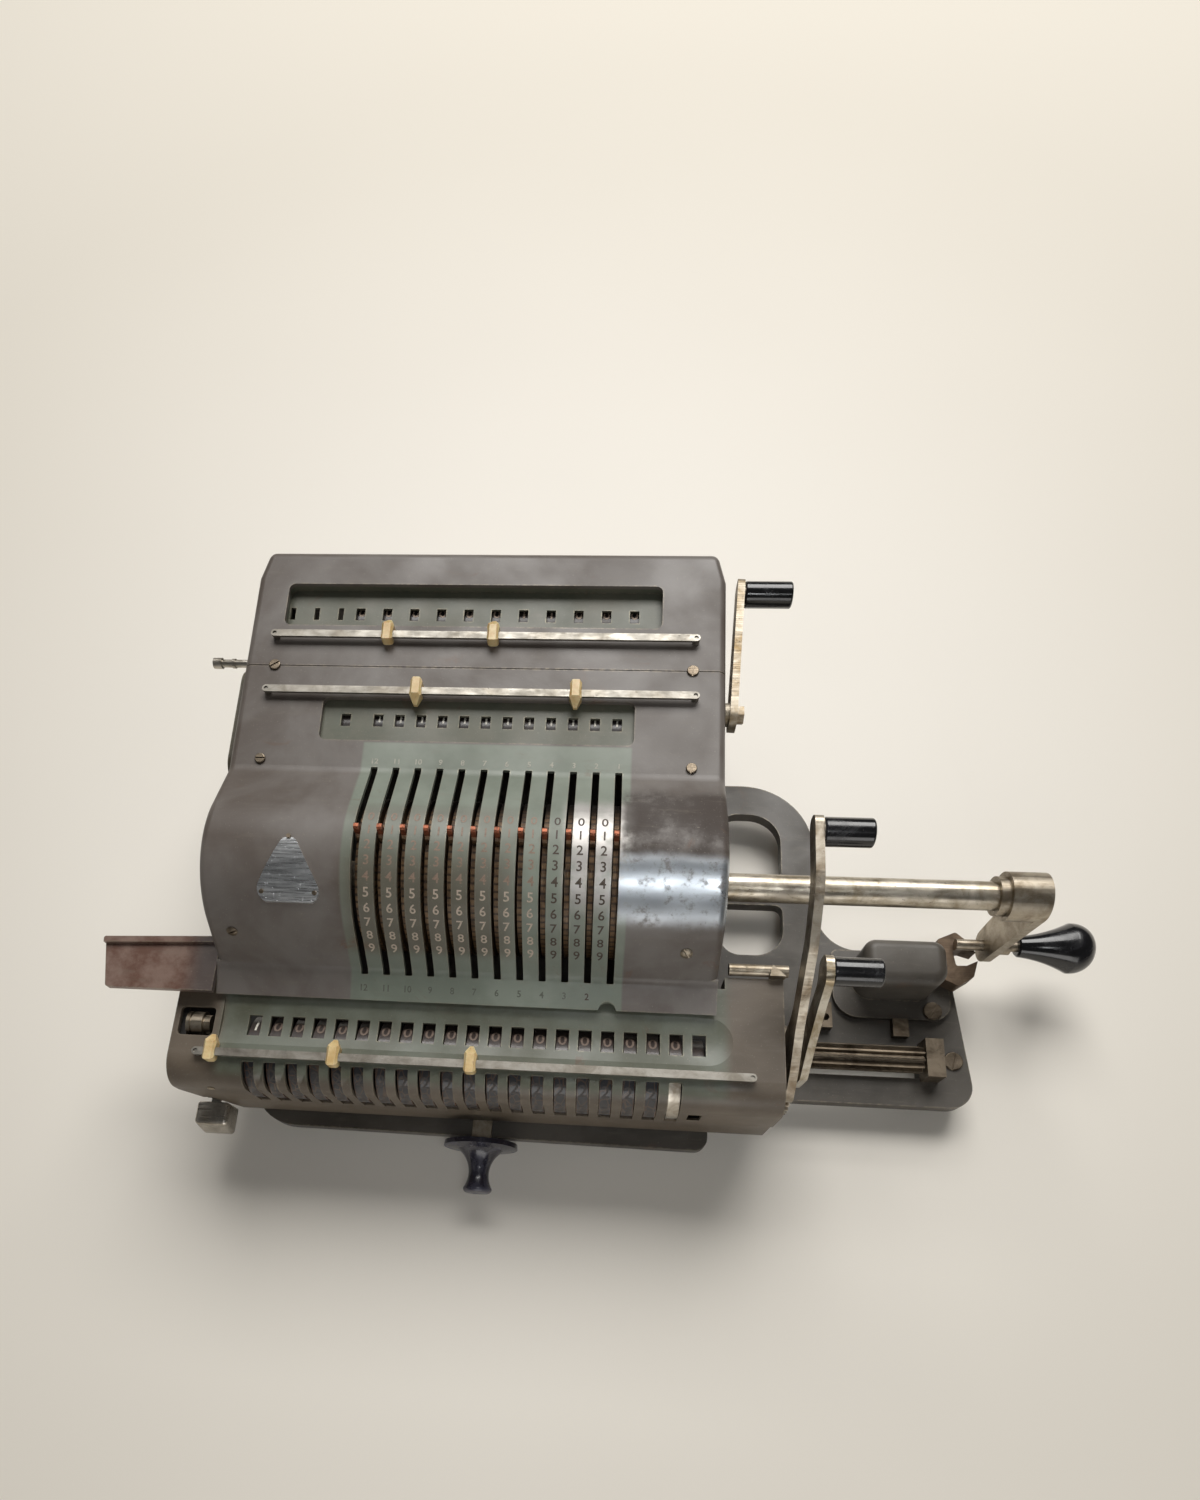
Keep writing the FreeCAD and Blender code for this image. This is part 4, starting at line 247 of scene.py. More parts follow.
# Where the paint of the front cover changes, in drum millimetres. Three values are an area's two ends and how
# soft they are, two values are where a change starts and where it is complete.
RAGGED_X = 7.0                  # how far the rubbed areas' edges wander
RAGGED_Y = 0.8                  # the same along y, as a share of that
FIELD_X, FIELD_BACK = (-47.8, 67.6, 0.7), (49.6, 50.8)
GRIME_X, GRIME_Z, GRIME_BACK = (-47.0, 22.0, 6.0), (8.0, 37.8, 3.0), (8.0, 18.0)
BARE_X, BARE_Y, BARE_LOW, BARE_LEFT = (42.0, 68.0, 3.0), (-25.0, 19.0, 4.0), (10.0, 15.0), (30.0, 50.0)
GREASE_X, GREASE_Y = (64.5, 140.0, 2.0), (-7.0, 27.0, 3.5)
# The last row places a painted highlight: a pale metallic band standing in for the reflection on the enamel
# right of the slots.
HIGHLIGHT_X, HIGHLIGHT_Y, HIGHLIGHT_LOW = (62.0, 140.0, 3.0), (-29.0, -6.0, 3.0), (20.0, 25.0)


def column_zone(shader, colour):
    """The greener field round the slots with grime over it, the right-hand columns rubbed to bright metal,
    and right of them a greasy patch with a painted highlight in front of it, a pale metallic patch standing
    in for the band of reflected light."""
    x, y, z = (shader.place(axis) for axis in range(3))
    ragged = shader.product(shader.math("SUBTRACT", shader.noise(55, 4, 0.6), 0.5), RAGGED_X)
    x_ragged = shader.math("ADD", x, ragged)
    y_ragged = shader.math("ADD", y, shader.product(ragged, RAGGED_Y))

    field = shader.product(shader.within(x, *FIELD_X), shader.ramp(y, *FIELD_BACK, 1.0, 0.0))
    tone = shader.mix(shader.ramp(shader.noise(30, 4, 0.6), 0.35, 0.65), GREEN, GREEN_LIGHT)
    colour = shader.mix(field, colour, tone)

    grime = shader.product(shader.within(x, *GRIME_X), shader.within(z, *GRIME_Z),
                           shader.ramp(y, *GRIME_BACK, 1.0, 0.0))
    colour = shader.coat(colour, GRIME, grime, 0.6)

    bare = shader.product(shader.within(x_ragged, *BARE_X), shader.within(y_ragged, *BARE_Y),
                          shader.ramp(z, *BARE_LOW), shader.ramp(x, *BARE_LEFT, 0.35, 1.0),
                          shader.ramp(shader.noise(160, 4, 0.6), 0.25, 0.6, 0.55, 1.0))
    colour = shader.mix(bare, colour, BARE)

    greasy = shader.product(shader.within(x_ragged, *GREASE_X), shader.within(y_ragged, *GREASE_Y),
                            shader.ramp(shader.noise(70, 5, 0.7), 0.3, 0.55, 0.3, 1.0))
    colour = shader.coat(colour, GREASE, greasy, 0.8)
    shader.dull = shader.product(greasy, 0.25)

    # Painted highlight: a pale, partly metallic patch paints in the bright reflection band, and the lamps'
    # real reflection adds to it.
    highlight_patch = shader.product(shader.within(x_ragged, *HIGHLIGHT_X), shader.within(y_ragged, *HIGHLIGHT_Y),
                            shader.ramp(z, *HIGHLIGHT_LOW),
                            shader.ramp(shader.noise(240, 5, 0.7), 0.3, 0.5, 0.25, 1.0))
    colour = shader.mix(highlight_patch, colour, PAINTED_HIGHLIGHT)
    metal = shader.math("MAXIMUM", shader.product(bare, 0.4), shader.product(highlight_patch, 0.85))
    return colour, metal


CARRIAGE_FIELD_X, CARRIAGE_FIELD_FRONT = (-104.0, 112.0, 3.0), (-93.0, -88.0)


def carriage_zone(shader, colour):
    """Greener paint on the carriage's top, between its ends."""
    x, y = shader.place(0), shader.place(1)
    field = shader.product(shader.within(x, *CARRIAGE_FIELD_X), shader.ramp(y, *CARRIAGE_FIELD_FRONT))
    tone = shader.mix(shader.ramp(shader.noise(40, 4, 0.6), 0.3, 0.7), GREEN, GREEN_DARK)
    return shader.coat(colour, tone, field, 0.85), 0.0


BURNT_FROM, BURNT_FULLY = -112.0, -123.0


def wing_zone(shader, colour):
    """Paint burnt rust-red at the far left end."""
    end = shader.ramp(shader.place(0), BURNT_FROM, BURNT_FULLY)
    tone = shader.mix(shader.ramp(shader.noise(90, 5, 0.65), 0.35, 0.65), BURNT, BURNT_DARK)
    return shader.coat(colour, tone, end, 0.8), 0.0


def tray_zone(shader, colour):
    """Olive paint all over the recessed plates."""
    tone = shader.mix(shader.ramp(shader.noise(50, 4, 0.6), 0.3, 0.7), OLIVE_DARK, OLIVE)
    return shader.mix(0.8, colour, tone), 0.0


# ------------------------------------------------------------------ metal, lacquer, plastic and rubber

PIT, STEEL_RUST = srgb(70, 56, 42), srgb(98, 66, 40)


def worn_metal(name, base, dark, rough=0.38, pits=0.6, rust=0.3, grain=(1.0, 30.0, 30.0), metallic=1.0):
    """Plated or plain steel, pitted and stained, with a turned or drawn grain."""
    shader = Shader(name)
    stain = shader.ramp(shader.noise(90, 5, 0.65, distort=0.5), 0.35, 0.7)
    colour = shader.mix(stain, base, dark)
    pit = shader.ramp(shader.noise(620, 5, 0.7), 0.6, 0.72)
    colour = shader.coat(colour, PIT, pit, pits)
    spread = shader.ramp(shader.noise(70, 6, 0.7, distort=1.0), 0.6, 0.78)
    colour = shader.coat(colour, STEEL_RUST, spread, rust)
    lines = shader.noise(60, 3, 0.6, stretch=grain)
    roughness = shader.ramp(lines, 0.3, 0.7, rough - 0.08, rough + 0.14)
    metal = shader.ramp(shader.math("MAXIMUM", pit, spread), 0.2, 0.9, metallic, metallic * 0.55)
    shader.set(Base_Color=colour, Metallic=metal, Roughness=roughness)
    height = shader.math("SUBTRACT", shader.product(lines, 0.25), shader.product(pit, 0.8))
    shader.bump(height, 0.35)
    return shader.material


GREY_DUST, RING_BROWN = srgb(110, 106, 100), srgb(66, 56, 52)
CRACK, CHIPPED_EDGE = srgb(92, 70, 52), srgb(136, 92, 62)
STEEL, STEEL_DARK = srgb(206, 200, 188), srgb(150, 138, 122)
CRACK_SCALE, CRACK_WIDTH, CHIPPED_REACH = 320, 0.09, 0.0006
RING_Y = (-76.0, -74.5)         # behind this the result wheels carry their ring of numbers
BRIGHT_SOFT = 0.4


def cracks(shader):
    """Fine lines along the edges of small cells."""
    cells = shader.tree.nodes.new("ShaderNodeTexVoronoi")
    cells.feature = "DISTANCE_TO_EDGE"
    cells.inputs["Scale"].default_value = CRACK_SCALE
    shader.tree.links.new(shader.stretched((1.0, 0.6, 0.6)), cells.inputs["Vector"])
    return shader.ramp(cells.outputs["Distance"], 0.0, CRACK_WIDTH, 1.0, 0.0)


def lacquer(name, base, tint, rough=0.16, crackle=0.0, bright_from=None):
    """Deep gloss with dust and fingerprints. Where asked it is cracked, and bare steel right of one place."""
    shader = Shader(name)
    smear = shader.ramp(shader.noise(70, 4, 0.6, distort=1.2), 0.4, 0.75)
    colour = shader.coat(base, tint, smear, 0.6)
    dust = shader.ramp(shader.noise(1400, 2, 0.5), 0.68, 0.76)
    colour = shader.coat(colour, GREY_DUST, dust, 0.4)
    height = shader.noise(260, 3, 0.5)
    if crackle:
        line = cracks(shader)
        colour = shader.coat(colour, CRACK, line, crackle)
        colour = shader.coat(colour, CHIPPED_EDGE, shader.edges(CHIPPED_REACH), 0.6)
        colour = shader.coat(colour, RING_BROWN, shader.ramp(shader.place(1), *RING_Y), 0.8)
        height = shader.math("SUBTRACT", height, line)
    if bright_from:
        bright = shader.product(shader.ramp(shader.place(0), bright_from, bright_from + BRIGHT_SOFT),
                                shader.ramp(shader.place(1), *RING_Y, 1.0, 0.0))
        colour = shader.mix(bright, colour, shader.mix(smear, STEEL, STEEL_DARK))
        shader.set(Metallic=shader.product(bright, 0.9))
    shader.set(Base_Color=colour, Roughness=shader.ramp(smear, 0.0, 1.0, rough, rough + 0.22))
    shader.set(Coat_Weight=0.35, Coat_Roughness=0.12)
    shader.bump(height, 0.12)
    return shader.material


IVORY, IVORY_WARM, IVORY_PALE, IVORY_DIRT = (
    srgb(226, 204, 156), srgb(196, 162, 104), srgb(242, 228, 190), srgb(120, 84, 44))
IVORY_EDGE, IVORY_DEPTH = 0.0007, 0.002


def ivory(name):
    """Yellowed plastic, dirty brown in its hollows."""
    shader = Shader(name)
    warm = shader.ramp(shader.noise(110, 4, 0.6), 0.3, 0.7)
    colour = shader.mix(warm, IVORY, IVORY_WARM)
    dirt = shader.ramp(shader.noise(380, 5, 0.7, distort=0.6), 0.56, 0.72)
    colour = shader.coat(colour, IVORY_DIRT, dirt, 0.55)
    colour = shader.coat(colour, IVORY_PALE, shader.edges(IVORY_EDGE), 0.35)
    shader.set(Base_Color=colour, Roughness=shader.ramp(dirt, 0.0, 1.0, 0.34, 0.6))
    shader.set(Subsurface_Weight=0.12, Subsurface_Scale=IVORY_DEPTH)
    shader.bump(shader.noise(500, 3, 0.5), 0.12)
    return shader.material


# The third colour here paints the shade in the rims' notches; the fourth paints the cover's shadow, mixed
# with old grease, over the back of the rims.
DISC, DISC_OILY, NOTCH_SHADE, SLOT_SHADE_AND_GREASE = srgb(128, 100, 70), srgb(72, 54, 38), srgb(34, 24, 18), srgb(16, 14, 12)
COPPER, COPPER_DARK = srgb(158, 92, 64), srgb(104, 60, 42)
NOTCHES_PER_RADIAN = 10.5
# The first pair: where that painted shadow and grease starts towards the back of the rims, and where it is
# nearly full.
SLOT_SHADE_Y, TIP_RADIUS = (8.0, 22.0), (36.0, 37.6)


def drum_metal(name):
    """The brown, oily rims that show in the slots, with painted shade in their notches all round, a painted
    shadow of the cover mixed with grease towards the back, and brighter copper tips.
    """
    shader = Shader(name)
    y, z = shader.place(1), shader.place(2)
    radius = shader.math("SQRT", shader.math("ADD", shader.product(y, y), shader.product(z, z)))
    oil = shader.ramp(shader.noise(240, 5, 0.7), 0.35, 0.7)
    colour = shader.mix(oil, DISC, DISC_OILY)
    # Painted shade: dark ticks all round where the notches are.
    arc = shader.product(shader.math("ARCTAN2", z, y), NOTCHES_PER_RADIAN)
    notch_shade = shader.ramp(shader.math("FRACT", arc), 0.62, 0.78)
    colour = shader.coat(colour, NOTCH_SHADE, notch_shade, 0.75)
    # Painted shadow of the cover, with old grease, darkening the rims towards the back.
    colour = shader.mix(shader.ramp(y, *SLOT_SHADE_Y, 0.0, 0.92), colour, SLOT_SHADE_AND_GREASE)
    tip = shader.ramp(radius, *TIP_RADIUS)
    copper = shader.mix(shader.ramp(shader.noise(500, 3, 0.6), 0.3, 0.7), COPPER, COPPER_DARK)
    colour = shader.mix(tip, colour, copper)
    shader.set(Base_Color=colour, Metallic=shader.ramp(tip, 0.0, 1.0, 0.3, 0.6),
               Roughness=shader.ramp(shader.noise(300, 3, 0.5), 0.3, 0.7, 0.35, 0.55))
    shader.bump(shader.noise(900, 4, 0.7), 0.4)
    return shader.material


RUBBER, RUBBER_GREY = srgb(38, 36, 34), srgb(58, 54, 50)


def rubber(name):
    """Matt black rubber, gone grey in clouds."""
    shader = Shader(name)
    colour = shader.mix(shader.ramp(shader.noise(200, 4, 0.6), 0.3, 0.7), RUBBER, RUBBER_GREY)
    shader.set(Base_Color=colour, Roughness=0.8)
    shader.bump(shader.noise(900, 3, 0.6), 0.2)
    return shader.material


def figure_paint(name, colour, fade, wear=0.5):
    """Paint or engraving of the figures, worn away in spots."""
    shader = Shader(name)
    spots = shader.ramp(shader.noise(900, 4, 0.7), 0.42, 0.66)
    shader.set(Base_Color=shader.coat(colour, fade, spots, wear), Roughness=0.55)
    return shader.material


# ------------------------------------------------------------------ materials of the pieces

LAST_FINGER_WHEEL = 86.0        # right of this x the finger wheel is bare steel

MATERIALS = {
    "front": enamel("front_enamel", zones=column_zone),
    "top": enamel("top_enamel", rust=0.35),
    "carriage": enamel("carriage_enamel", srgb(104, 93, 80), srgb(86, 76, 64), zones=carriage_zone),
    "tray": enamel("tray_enamel", zones=tray_zone, rust=0.45),
    "base": enamel("base_enamel", srgb(90, 85, 78), srgb(68, 63, 56), wear=0.8, rust=0.4, rough=0.46),
    "wing": enamel("wing_enamel", srgb(90, 80, 76), srgb(64, 52, 48), zones=wing_zone, wear=1.0, rust=0.6,
                   rough=0.36),
    "side": enamel("side_enamel", srgb(84, 78, 56), srgb(60, 54, 42), wear=0.8),
    "inner": enamel("inner_enamel", srgb(40, 37, 34), srgb(26, 24, 22), wear=0.3, rust=0.5, rough=0.55),
    "steel": worn_metal("aged_steel", srgb(178, 168, 152), srgb(128, 116, 98)),
    "tube": worn_metal("crank_tube", srgb(200, 192, 178), srgb(150, 138, 118), rough=0.36, pits=0.9, rust=0.3,
                       grain=(1.5, 4.0, 4.0)),
    "nickel": worn_metal("dull_nickel", srgb(196, 190, 180), srgb(150, 142, 130), rough=0.32, pits=0.25,
                         rust=0.12),
    "lever": worn_metal("lever_nickel", srgb(206, 200, 188), srgb(146, 132, 108), rough=0.34, pits=0.5,
                        rust=0.35),
    "dull_lever": worn_metal("dull_lever", srgb(180, 172, 158), srgb(120, 106, 88), rough=0.42, pits=0.7,
                             rust=0.4),
    "counter_lever": worn_metal("counter_lever", srgb(168, 160, 146), srgb(122, 104, 76), rough=0.5, pits=0.6,
                                rust=0.6),
    "bar": worn_metal("pointer_bar_steel", srgb(158, 154, 146), srgb(126, 120, 110), rough=0.46, pits=0.3,
                      rust=0.15, grain=(2.0, 5.0, 5.0)),
    "rusty": worn_metal("rusty_steel", srgb(104, 88, 72), srgb(72, 58, 46), rough=0.55, pits=0.9, rust=0.35,
                        metallic=0.7),
    "oily": worn_metal("oily_steel", srgb(128, 116, 100), srgb(78, 68, 56), rough=0.36, pits=0.7, rust=0.45,
                       metallic=0.8),
    "plate": worn_metal("bare_plate", srgb(232, 234, 236), srgb(208, 210, 212), rough=0.28, pits=0.2,
                        rust=0.05),
    "drum": drum_metal("drum_metal"),
    "knob": lacquer("knob_lacquer", srgb(36, 34, 46), srgb(84, 84, 100), rough=0.24),
    "lacquer": lacquer("black_lacquer", srgb(16, 16, 18), srgb(34, 34, 38)),
    "wheel": lacquer("finger_wheel", srgb(36, 36, 42), srgb(76, 72, 70), rough=0.34, crackle=0.8,
                     bright_from=LAST_FINGER_WHEEL),
    "dial": lacquer("dial_black", srgb(44, 38, 38), srgb(72, 60, 50), rough=0.4),
    "ivory": ivory("ivory_plastic"),
    "rubber": rubber("foot_rubber"),
    "cream": figure_paint("cream_figures", srgb(190, 174, 156), srgb(124, 118, 104)),
    "red": figure_paint("faded_red_figures", srgb(142, 120, 104), srgb(98, 88, 74), wear=0.6),
    "white": figure_paint("white_figures", srgb(232, 228, 216), srgb(170, 160, 140), wear=0.4),
    "engraved": figure_paint("engraved_figures", srgb(62, 50, 40), srgb(110, 96, 84), wear=0.3),
    "faint": figure_paint("faint_figures", srgb(176, 172, 158), srgb(124, 128, 116), wear=0.7),
    "dull": figure_paint("dull_figures", srgb(186, 166, 148), srgb(120, 100, 84)),
    "dim": figure_paint("dim_figures", srgb(132, 114, 102), srgb(76, 66, 60)),
    "worn": figure_paint("worn_figures", srgb(74, 68, 64), srgb(56, 54, 54), wear=0.6),
    "hint": figure_paint("hinted_figures", srgb(88, 90, 80), srgb(104, 108, 98), wear=0.6),
}

NODE_MATERIALS = {
    "front_cover": "front", "top_cover": "top", "window_plates": "tray", "carriage_cover": "carriage",
    "base_plate": "base", "crank_stop_housing": "base", "left_guard_plate": "wing", "left_side_plate": "side",
    "side_frame_left": "inner", "side_frame_right": "inner", "carriage_frame": "inner",
    "pointer_bars": "bar", "carriage_pointer_bar": "bar", "cover_fasteners": "oily", "badge_plate": "plate",
    "crank_rest_catch": "rusty", "base_blocks": "oily", "carriage_rails": "steel", "dial_spindles": "steel",
    "crank_shaft": "tube", "crank_arm": "steel", "crank_handle": "lacquer", "pinwheel_discs": "drum",
    "setting_pins": "drum", "control_dials": "dial", "counter_dials": "dial", "result_dials": "wheel",
    "counter_clear_lever": "counter_lever", "counter_clear_grip": "lacquer",
    "setting_clear_lever": "dull_lever", "setting_clear_grip": "lacquer",
    "result_clear_lever": "lever", "result_clear_grip": "lacquer",
    "clearing_pinion": "oily", "carriage_spindles": "steel", "transfer_gears": "drum",
    "shift_key_bracket": "steel", "shift_knob": "knob", "carriage_release_lever": "nickel",
    "selector_pin": "nickel", "rubber_feet": "rubber",
}


def dress_nodes():
    """Gives each CAD node its material. What the table leaves out is a setting lever or an ivory pointer."""
    for name, thing in NODES.items():
        kind = NODE_MATERIALS.get(name)
        if kind is None:
            kind = "drum" if name.startswith("setting_lever") else "ivory"
        if not thing.material_slots:
            thing.data.materials.append(MATERIALS[kind])
        for slot in thing.material_slots:
            slot.material = MATERIALS[kind]


def new_piece(name, vertices, faces, material):
    """A mesh object in the scene, from its points and faces."""
    mesh = bpy.data.meshes.new(name)
    mesh.from_pydata(vertices, [], faces)
    mesh.materials.append(material)
    piece = bpy.data.objects.new(name, mesh)
    bpy.context.scene.collection.objects.link(piece)
    return piece


# ------------------------------------------------------------------ figures

FIGURE_LIFT, FIGURE_BOLD = 0.06, 0.07
FONT_BODY = 1.39                # the font's size for a figure one unit tall
CURVE_STEPS = 3
STRIPS, STRIP = 6, 0.6          # cuts above and below a figure's middle, and millimetres between them
_outlines = {}


def figure_outline(text, size):
    """A flat mesh of the figure, size millimetres tall, centred on the origin; made once and copied."""
    if (text, size) not in _outlines:
        curve = bpy.data.curves.new("figure", "FONT")
        curve.body = text
        curve.size = size * FONT_BODY * MM
        curve.align_x, curve.align_y = "CENTER", "CENTER"
        curve.resolution_u = CURVE_STEPS
        curve.offset = FIGURE_BOLD * MM
        thing = bpy.data.objects.new("figure", curve)
        bpy.context.scene.collection.objects.link(thing)
        graph = bpy.context.evaluated_depsgraph_get()
        mesh = bpy.data.meshes.new_from_object(thing.evaluated_get(graph))
        bpy.data.objects.remove(thing)
        cut_across(mesh)
        middle_x = (max(v.co.x for v in mesh.vertices) + min(v.co.x for v in mesh.vertices)) / 2
        middle_y = (max(v.co.y for v in mesh.vertices) + min(v.co.y for v in mesh.vertices)) / 2
        points = [Vector((v.co.x - middle_x, v.co.y - middle_y)) for v in mesh.vertices]
        faces = [tuple(face.vertices) for face in mesh.polygons]
        bpy.data.meshes.remove(mesh)
        _outlines[(text, size)] = (points, faces)
    return _outlines[(text, size)]


def cut_across(mesh):
    """Cuts the flat figure into low strips, so that it can bend round a wheel."""
    grid = bmesh.new()
    grid.from_mesh(mesh)
    for step in range(-STRIPS, STRIPS + 1):
        everything = grid.verts[:] + grid.edges[:] + grid.faces[:]
        bmesh.ops.bisect_plane(grid, geom=everything, plane_co=(0, step * STRIP * MM, 0), plane_no=(0, 1, 0))
    grid.to_mesh(mesh)
    grid.free()


def figures(name, entries, material, body):
    """One piece from many figures. Each entry is (text, size, wrap), and wrap carries a flat point to its
    place."""
    vertices, faces = [], []
    for text, size, wrap in entries:
        points, loops = figure_outline(text, size)
        start = len(vertices)
        vertices += [wrap(point.x / MM, point.y / MM) for point in points]
        faces += [tuple(start + index for index in loop) for loop in loops]
    piece = new_piece(name, vertices, faces, MATERIALS[material])
    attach(piece, body)


def round_drum(x, angle, radius, axis):
    """Wraps figures round a wheel: angle is the place's polar angle from the back, in degrees."""
    def wrap(right, up):
        turn = math.radians(angle) - up / radius
        reach = radius + FIGURE_LIFT
        return at(x + right, axis[0] + reach * math.cos(turn), axis[1] + reach * math.sin(turn))
    return wrap


def surface_of(thing):
    """A node's surface, for lines to be cast at."""
    mesh = thing.data
    corners = [thing.matrix_world @ vertex.co for vertex in mesh.vertices]
    return BVHTree.FromPolygons(corners, [tuple(face.vertices) for face in mesh.polygons])


COVER = surface_of(NODES["front_cover"])
DOWN, BACK = (0.0, 0.0, -1.0), (0.0, 1.0, 0.0)
OUTSIDE_DRUM, ABOVE_COVER = 60, 90          # where lines at the cover start, from the drum axis


def over_drum(x, angle):
    """Wraps figures onto the drum cover, wherever a line to the drum axis meets it."""
    def wrap(right, up):
        turn = math.radians(angle) - up / DRUM_COVER
        outward = Vector((0.0, math.cos(turn), math.sin(turn)))
        place, normal, _, _ = COVER.ray_cast(at(x + right, 0, 0) + outward * OUTSIDE_DRUM * MM, -outward)
        return place + normal * FIGURE_LIFT * MM
    return wrap


def under_sky(x, y):
    """Drops figures straight down onto the front cover."""
    def wrap(right, up):
        place, normal, _, _ = COVER.ray_cast(at(x + right, y + up, ABOVE_COVER), Vector(DOWN))
        return place + normal * FIGURE_LIFT * MM
    return wrap


DIGITS = range(10)
ZERO_ANGLE, DIGIT_STEP = 77.34, 9.74        # degrees round the drum: the zero, and from one digit to the next
FIRST_CREAM = 5                             # digits from here up are cream, those below faded red
RUBBED_ROWS = 3                             # rows on the right where only the engraving is left
CLEAR_NUMBER = 2                            # the one apron number that still reads well
SLOT_FIGURE, APRON_FIGURE, UPPER_FIGURE = 4.1, 2.7, 2.5
APRON_FIGURE_Y, UPPER_FIGURE_Y = -51.4, 41.2


def cover_figures():
    """Ten figures between neighbouring slots, and the column numbers above and below the slots."""
    cream, red, engraved, faint, hint = [], [], [], [], []
    for k in range(1, len(COLUMNS)):
        x = COLUMNS[k] + PITCH / 2
        for digit in DIGITS:
            entry = (str(digit), SLOT_FIGURE, over_drum(x, ZERO_ANGLE + DIGIT_STEP * digit))
            if k <= RUBBED_ROWS:
                engraved.append(entry)
            else:
                (cream if digit >= FIRST_CREAM else red).append(entry)
        number = (str(k + 1), APRON_FIGURE, under_sky(COLUMNS[k], APRON_FIGURE_Y))
        (engraved if k + 1 == CLEAR_NUMBER else hint).append(number)
    for k, x in enumerate(COLUMNS):
        faint.append((str(k + 1), UPPER_FIGURE, under_sky(x, UPPER_FIGURE_Y)))
    figures("slot_figures_cream", cream, "cream", "frame")
    figures("slot_figures_red", red, "red", "frame")
    figures("slot_figures_engraved", engraved, "engraved", "frame")
    figures("slot_numbers", faint, "faint", "frame")
    figures("apron_numbers", hint, "hint", "frame")


# Rows of dials: the piece, its body, the dials' places, their radius, their joint, the polar angle that shows
# in the window, the figures' height, their paint, the figure that shows ("rest", or one dial's own by its
# index), and which of the ten figures are there, counted from the one that shows. The rightmost result dial
# has no figures, and the next has only its zero.
DIAL_ROWS = (
    ("control_figures", "control_register", CONTROL_X, 11.0, "control_dials_turn", 80.0, 5.0, "white",
     {"rest": 1}, DIGITS),
    ("counter_figures", "counter_register", COUNTER_X, 11.5, "counter_dials_turn", 79.0, 5.2, "dull",
     {"rest": 0, 3: 1, 4: 1}, DIGITS),
    ("result_zeros", "result_register", RESULT_X[1:-1], 18.2, "result_dials_turn", 59.0, 5.8, "dim",
     {"rest": 0}, DIGITS[:1]),
    ("result_figures", "result_register", RESULT_X[2:-1], 18.2, "result_dials_turn", 59.0, 5.8, "worn",
     {"rest": 0}, DIGITS[1:]),
    ("last_result_figures", "result_register", RESULT_X[-1:], 18.2, "result_dials_turn", 59.0, 5.8, "worn",
     {"rest": 1}, DIGITS[1:]),
    ("last_result_one", "result_register", RESULT_X[-1:], 18.2, "result_dials_turn", 59.0, 5.8, "white",
     {"rest": 1}, DIGITS[:1]),
)
DIAL_STEP = 36.0                            # degrees from one figure of a dial to the next


def dial_figures():
    """The figure that shows in each window, and the others round each wheel."""
    for name, body, places, radius, joint, seen_at, size, paint, shown, steps in DIAL_ROWS:
        axis = joint_axis(joint)
        entries = []
        for index, x in enumerate(places):
            for step in steps:
                digit = (shown.get(index, shown["rest"]) + step) % len(DIGITS)
                entries.append((str(digit), size, round_drum(x, seen_at + DIAL_STEP * step, radius, axis)))
        figures(name, entries, paint, body)


# ------------------------------------------------------------------ screws

SCREW_SPOKES, SCREW_RINGS = 48, 10
SCREW_RIM, SCREW_FLOOR = 0.35, 0.25         # height of the rim and of the slot's floor, as shares of the rise
SCREW_SLOT = 0.14                           # half the slot's width, as a share of the radius
SCREW_SUNK = 0.15                           # how far the rim reaches into the seat


def screw_head(radius, rise, turn):
    """Points and faces of a dome with a slot across it, whose rim reaches a little into the seat."""
    points = []
    for ring in range(SCREW_RINGS + 1):
        part = ring / SCREW_RINGS
        for spoke in range(SCREW_SPOKES):
            angle = 2 * math.pi * spoke / SCREW_SPOKES
            x, y = part * radius * math.cos(angle), part * radius * math.sin(angle)
            height = rise * (SCREW_RIM + (1.0 - SCREW_RIM) * (1.0 - part ** 2))
            across = x * math.cos(turn) + y * math.sin(turn)
            if abs(across) < SCREW_SLOT * radius:
                height = rise * SCREW_FLOOR
            points.append(Vector((x, y, height)))
    for spoke in range(SCREW_SPOKES):
        angle = 2 * math.pi * spoke / SCREW_SPOKES
        points.append(Vector((radius * math.cos(angle), radius * math.sin(angle), -SCREW_SUNK)))
    faces = []
    for ring in range(SCREW_RINGS + 1):
        low, high = ring * SCREW_SPOKES, (ring + 1) * SCREW_SPOKES
        for spoke in range(SCREW_SPOKES):
            following = (spoke + 1) % SCREW_SPOKES
            faces.append((low + spoke, high + spoke, high + following, low + following))
    return points, faces


def screw(name, node, body, start, toward, radius, rise, turn, material):
    """A slotted screw head, seated square where a line from its start meets the node."""
    seat, normal, _, _ = surface_of(NODES[node]).ray_cast(at(*start), Vector(toward))
    facing = normal.to_track_quat("Z", "Y").to_matrix()
    points, faces = screw_head(radius, rise, turn)
    vertices = [seat + facing @ point * MM for point in points]
    piece = new_piece(name, vertices, faces, MATERIALS[material])
    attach(piece, body)


# Screws: the piece, its node and body, where its line starts and heads, radius, rise, turn of the slot in
# radians, and material.
SCREWS = (
    ("hump_screw_right", "front_cover", "frame", (92.7, -36.6, 90), DOWN, 2.5, 1.1, 0.5, "steel"),
    ("hump_screw_left", "front_cover", "frame", (-96.0, -35.4, 90), DOWN, 2.3, 1.0, 1.9, "oily"),
    ("carriage_front_screw", "carriage_cover", "carriage", (-108.0, -180, -20), BACK, 1.7, 0.7, 0.9, "steel"),
)

# ------------------------------------------------------------------ stage

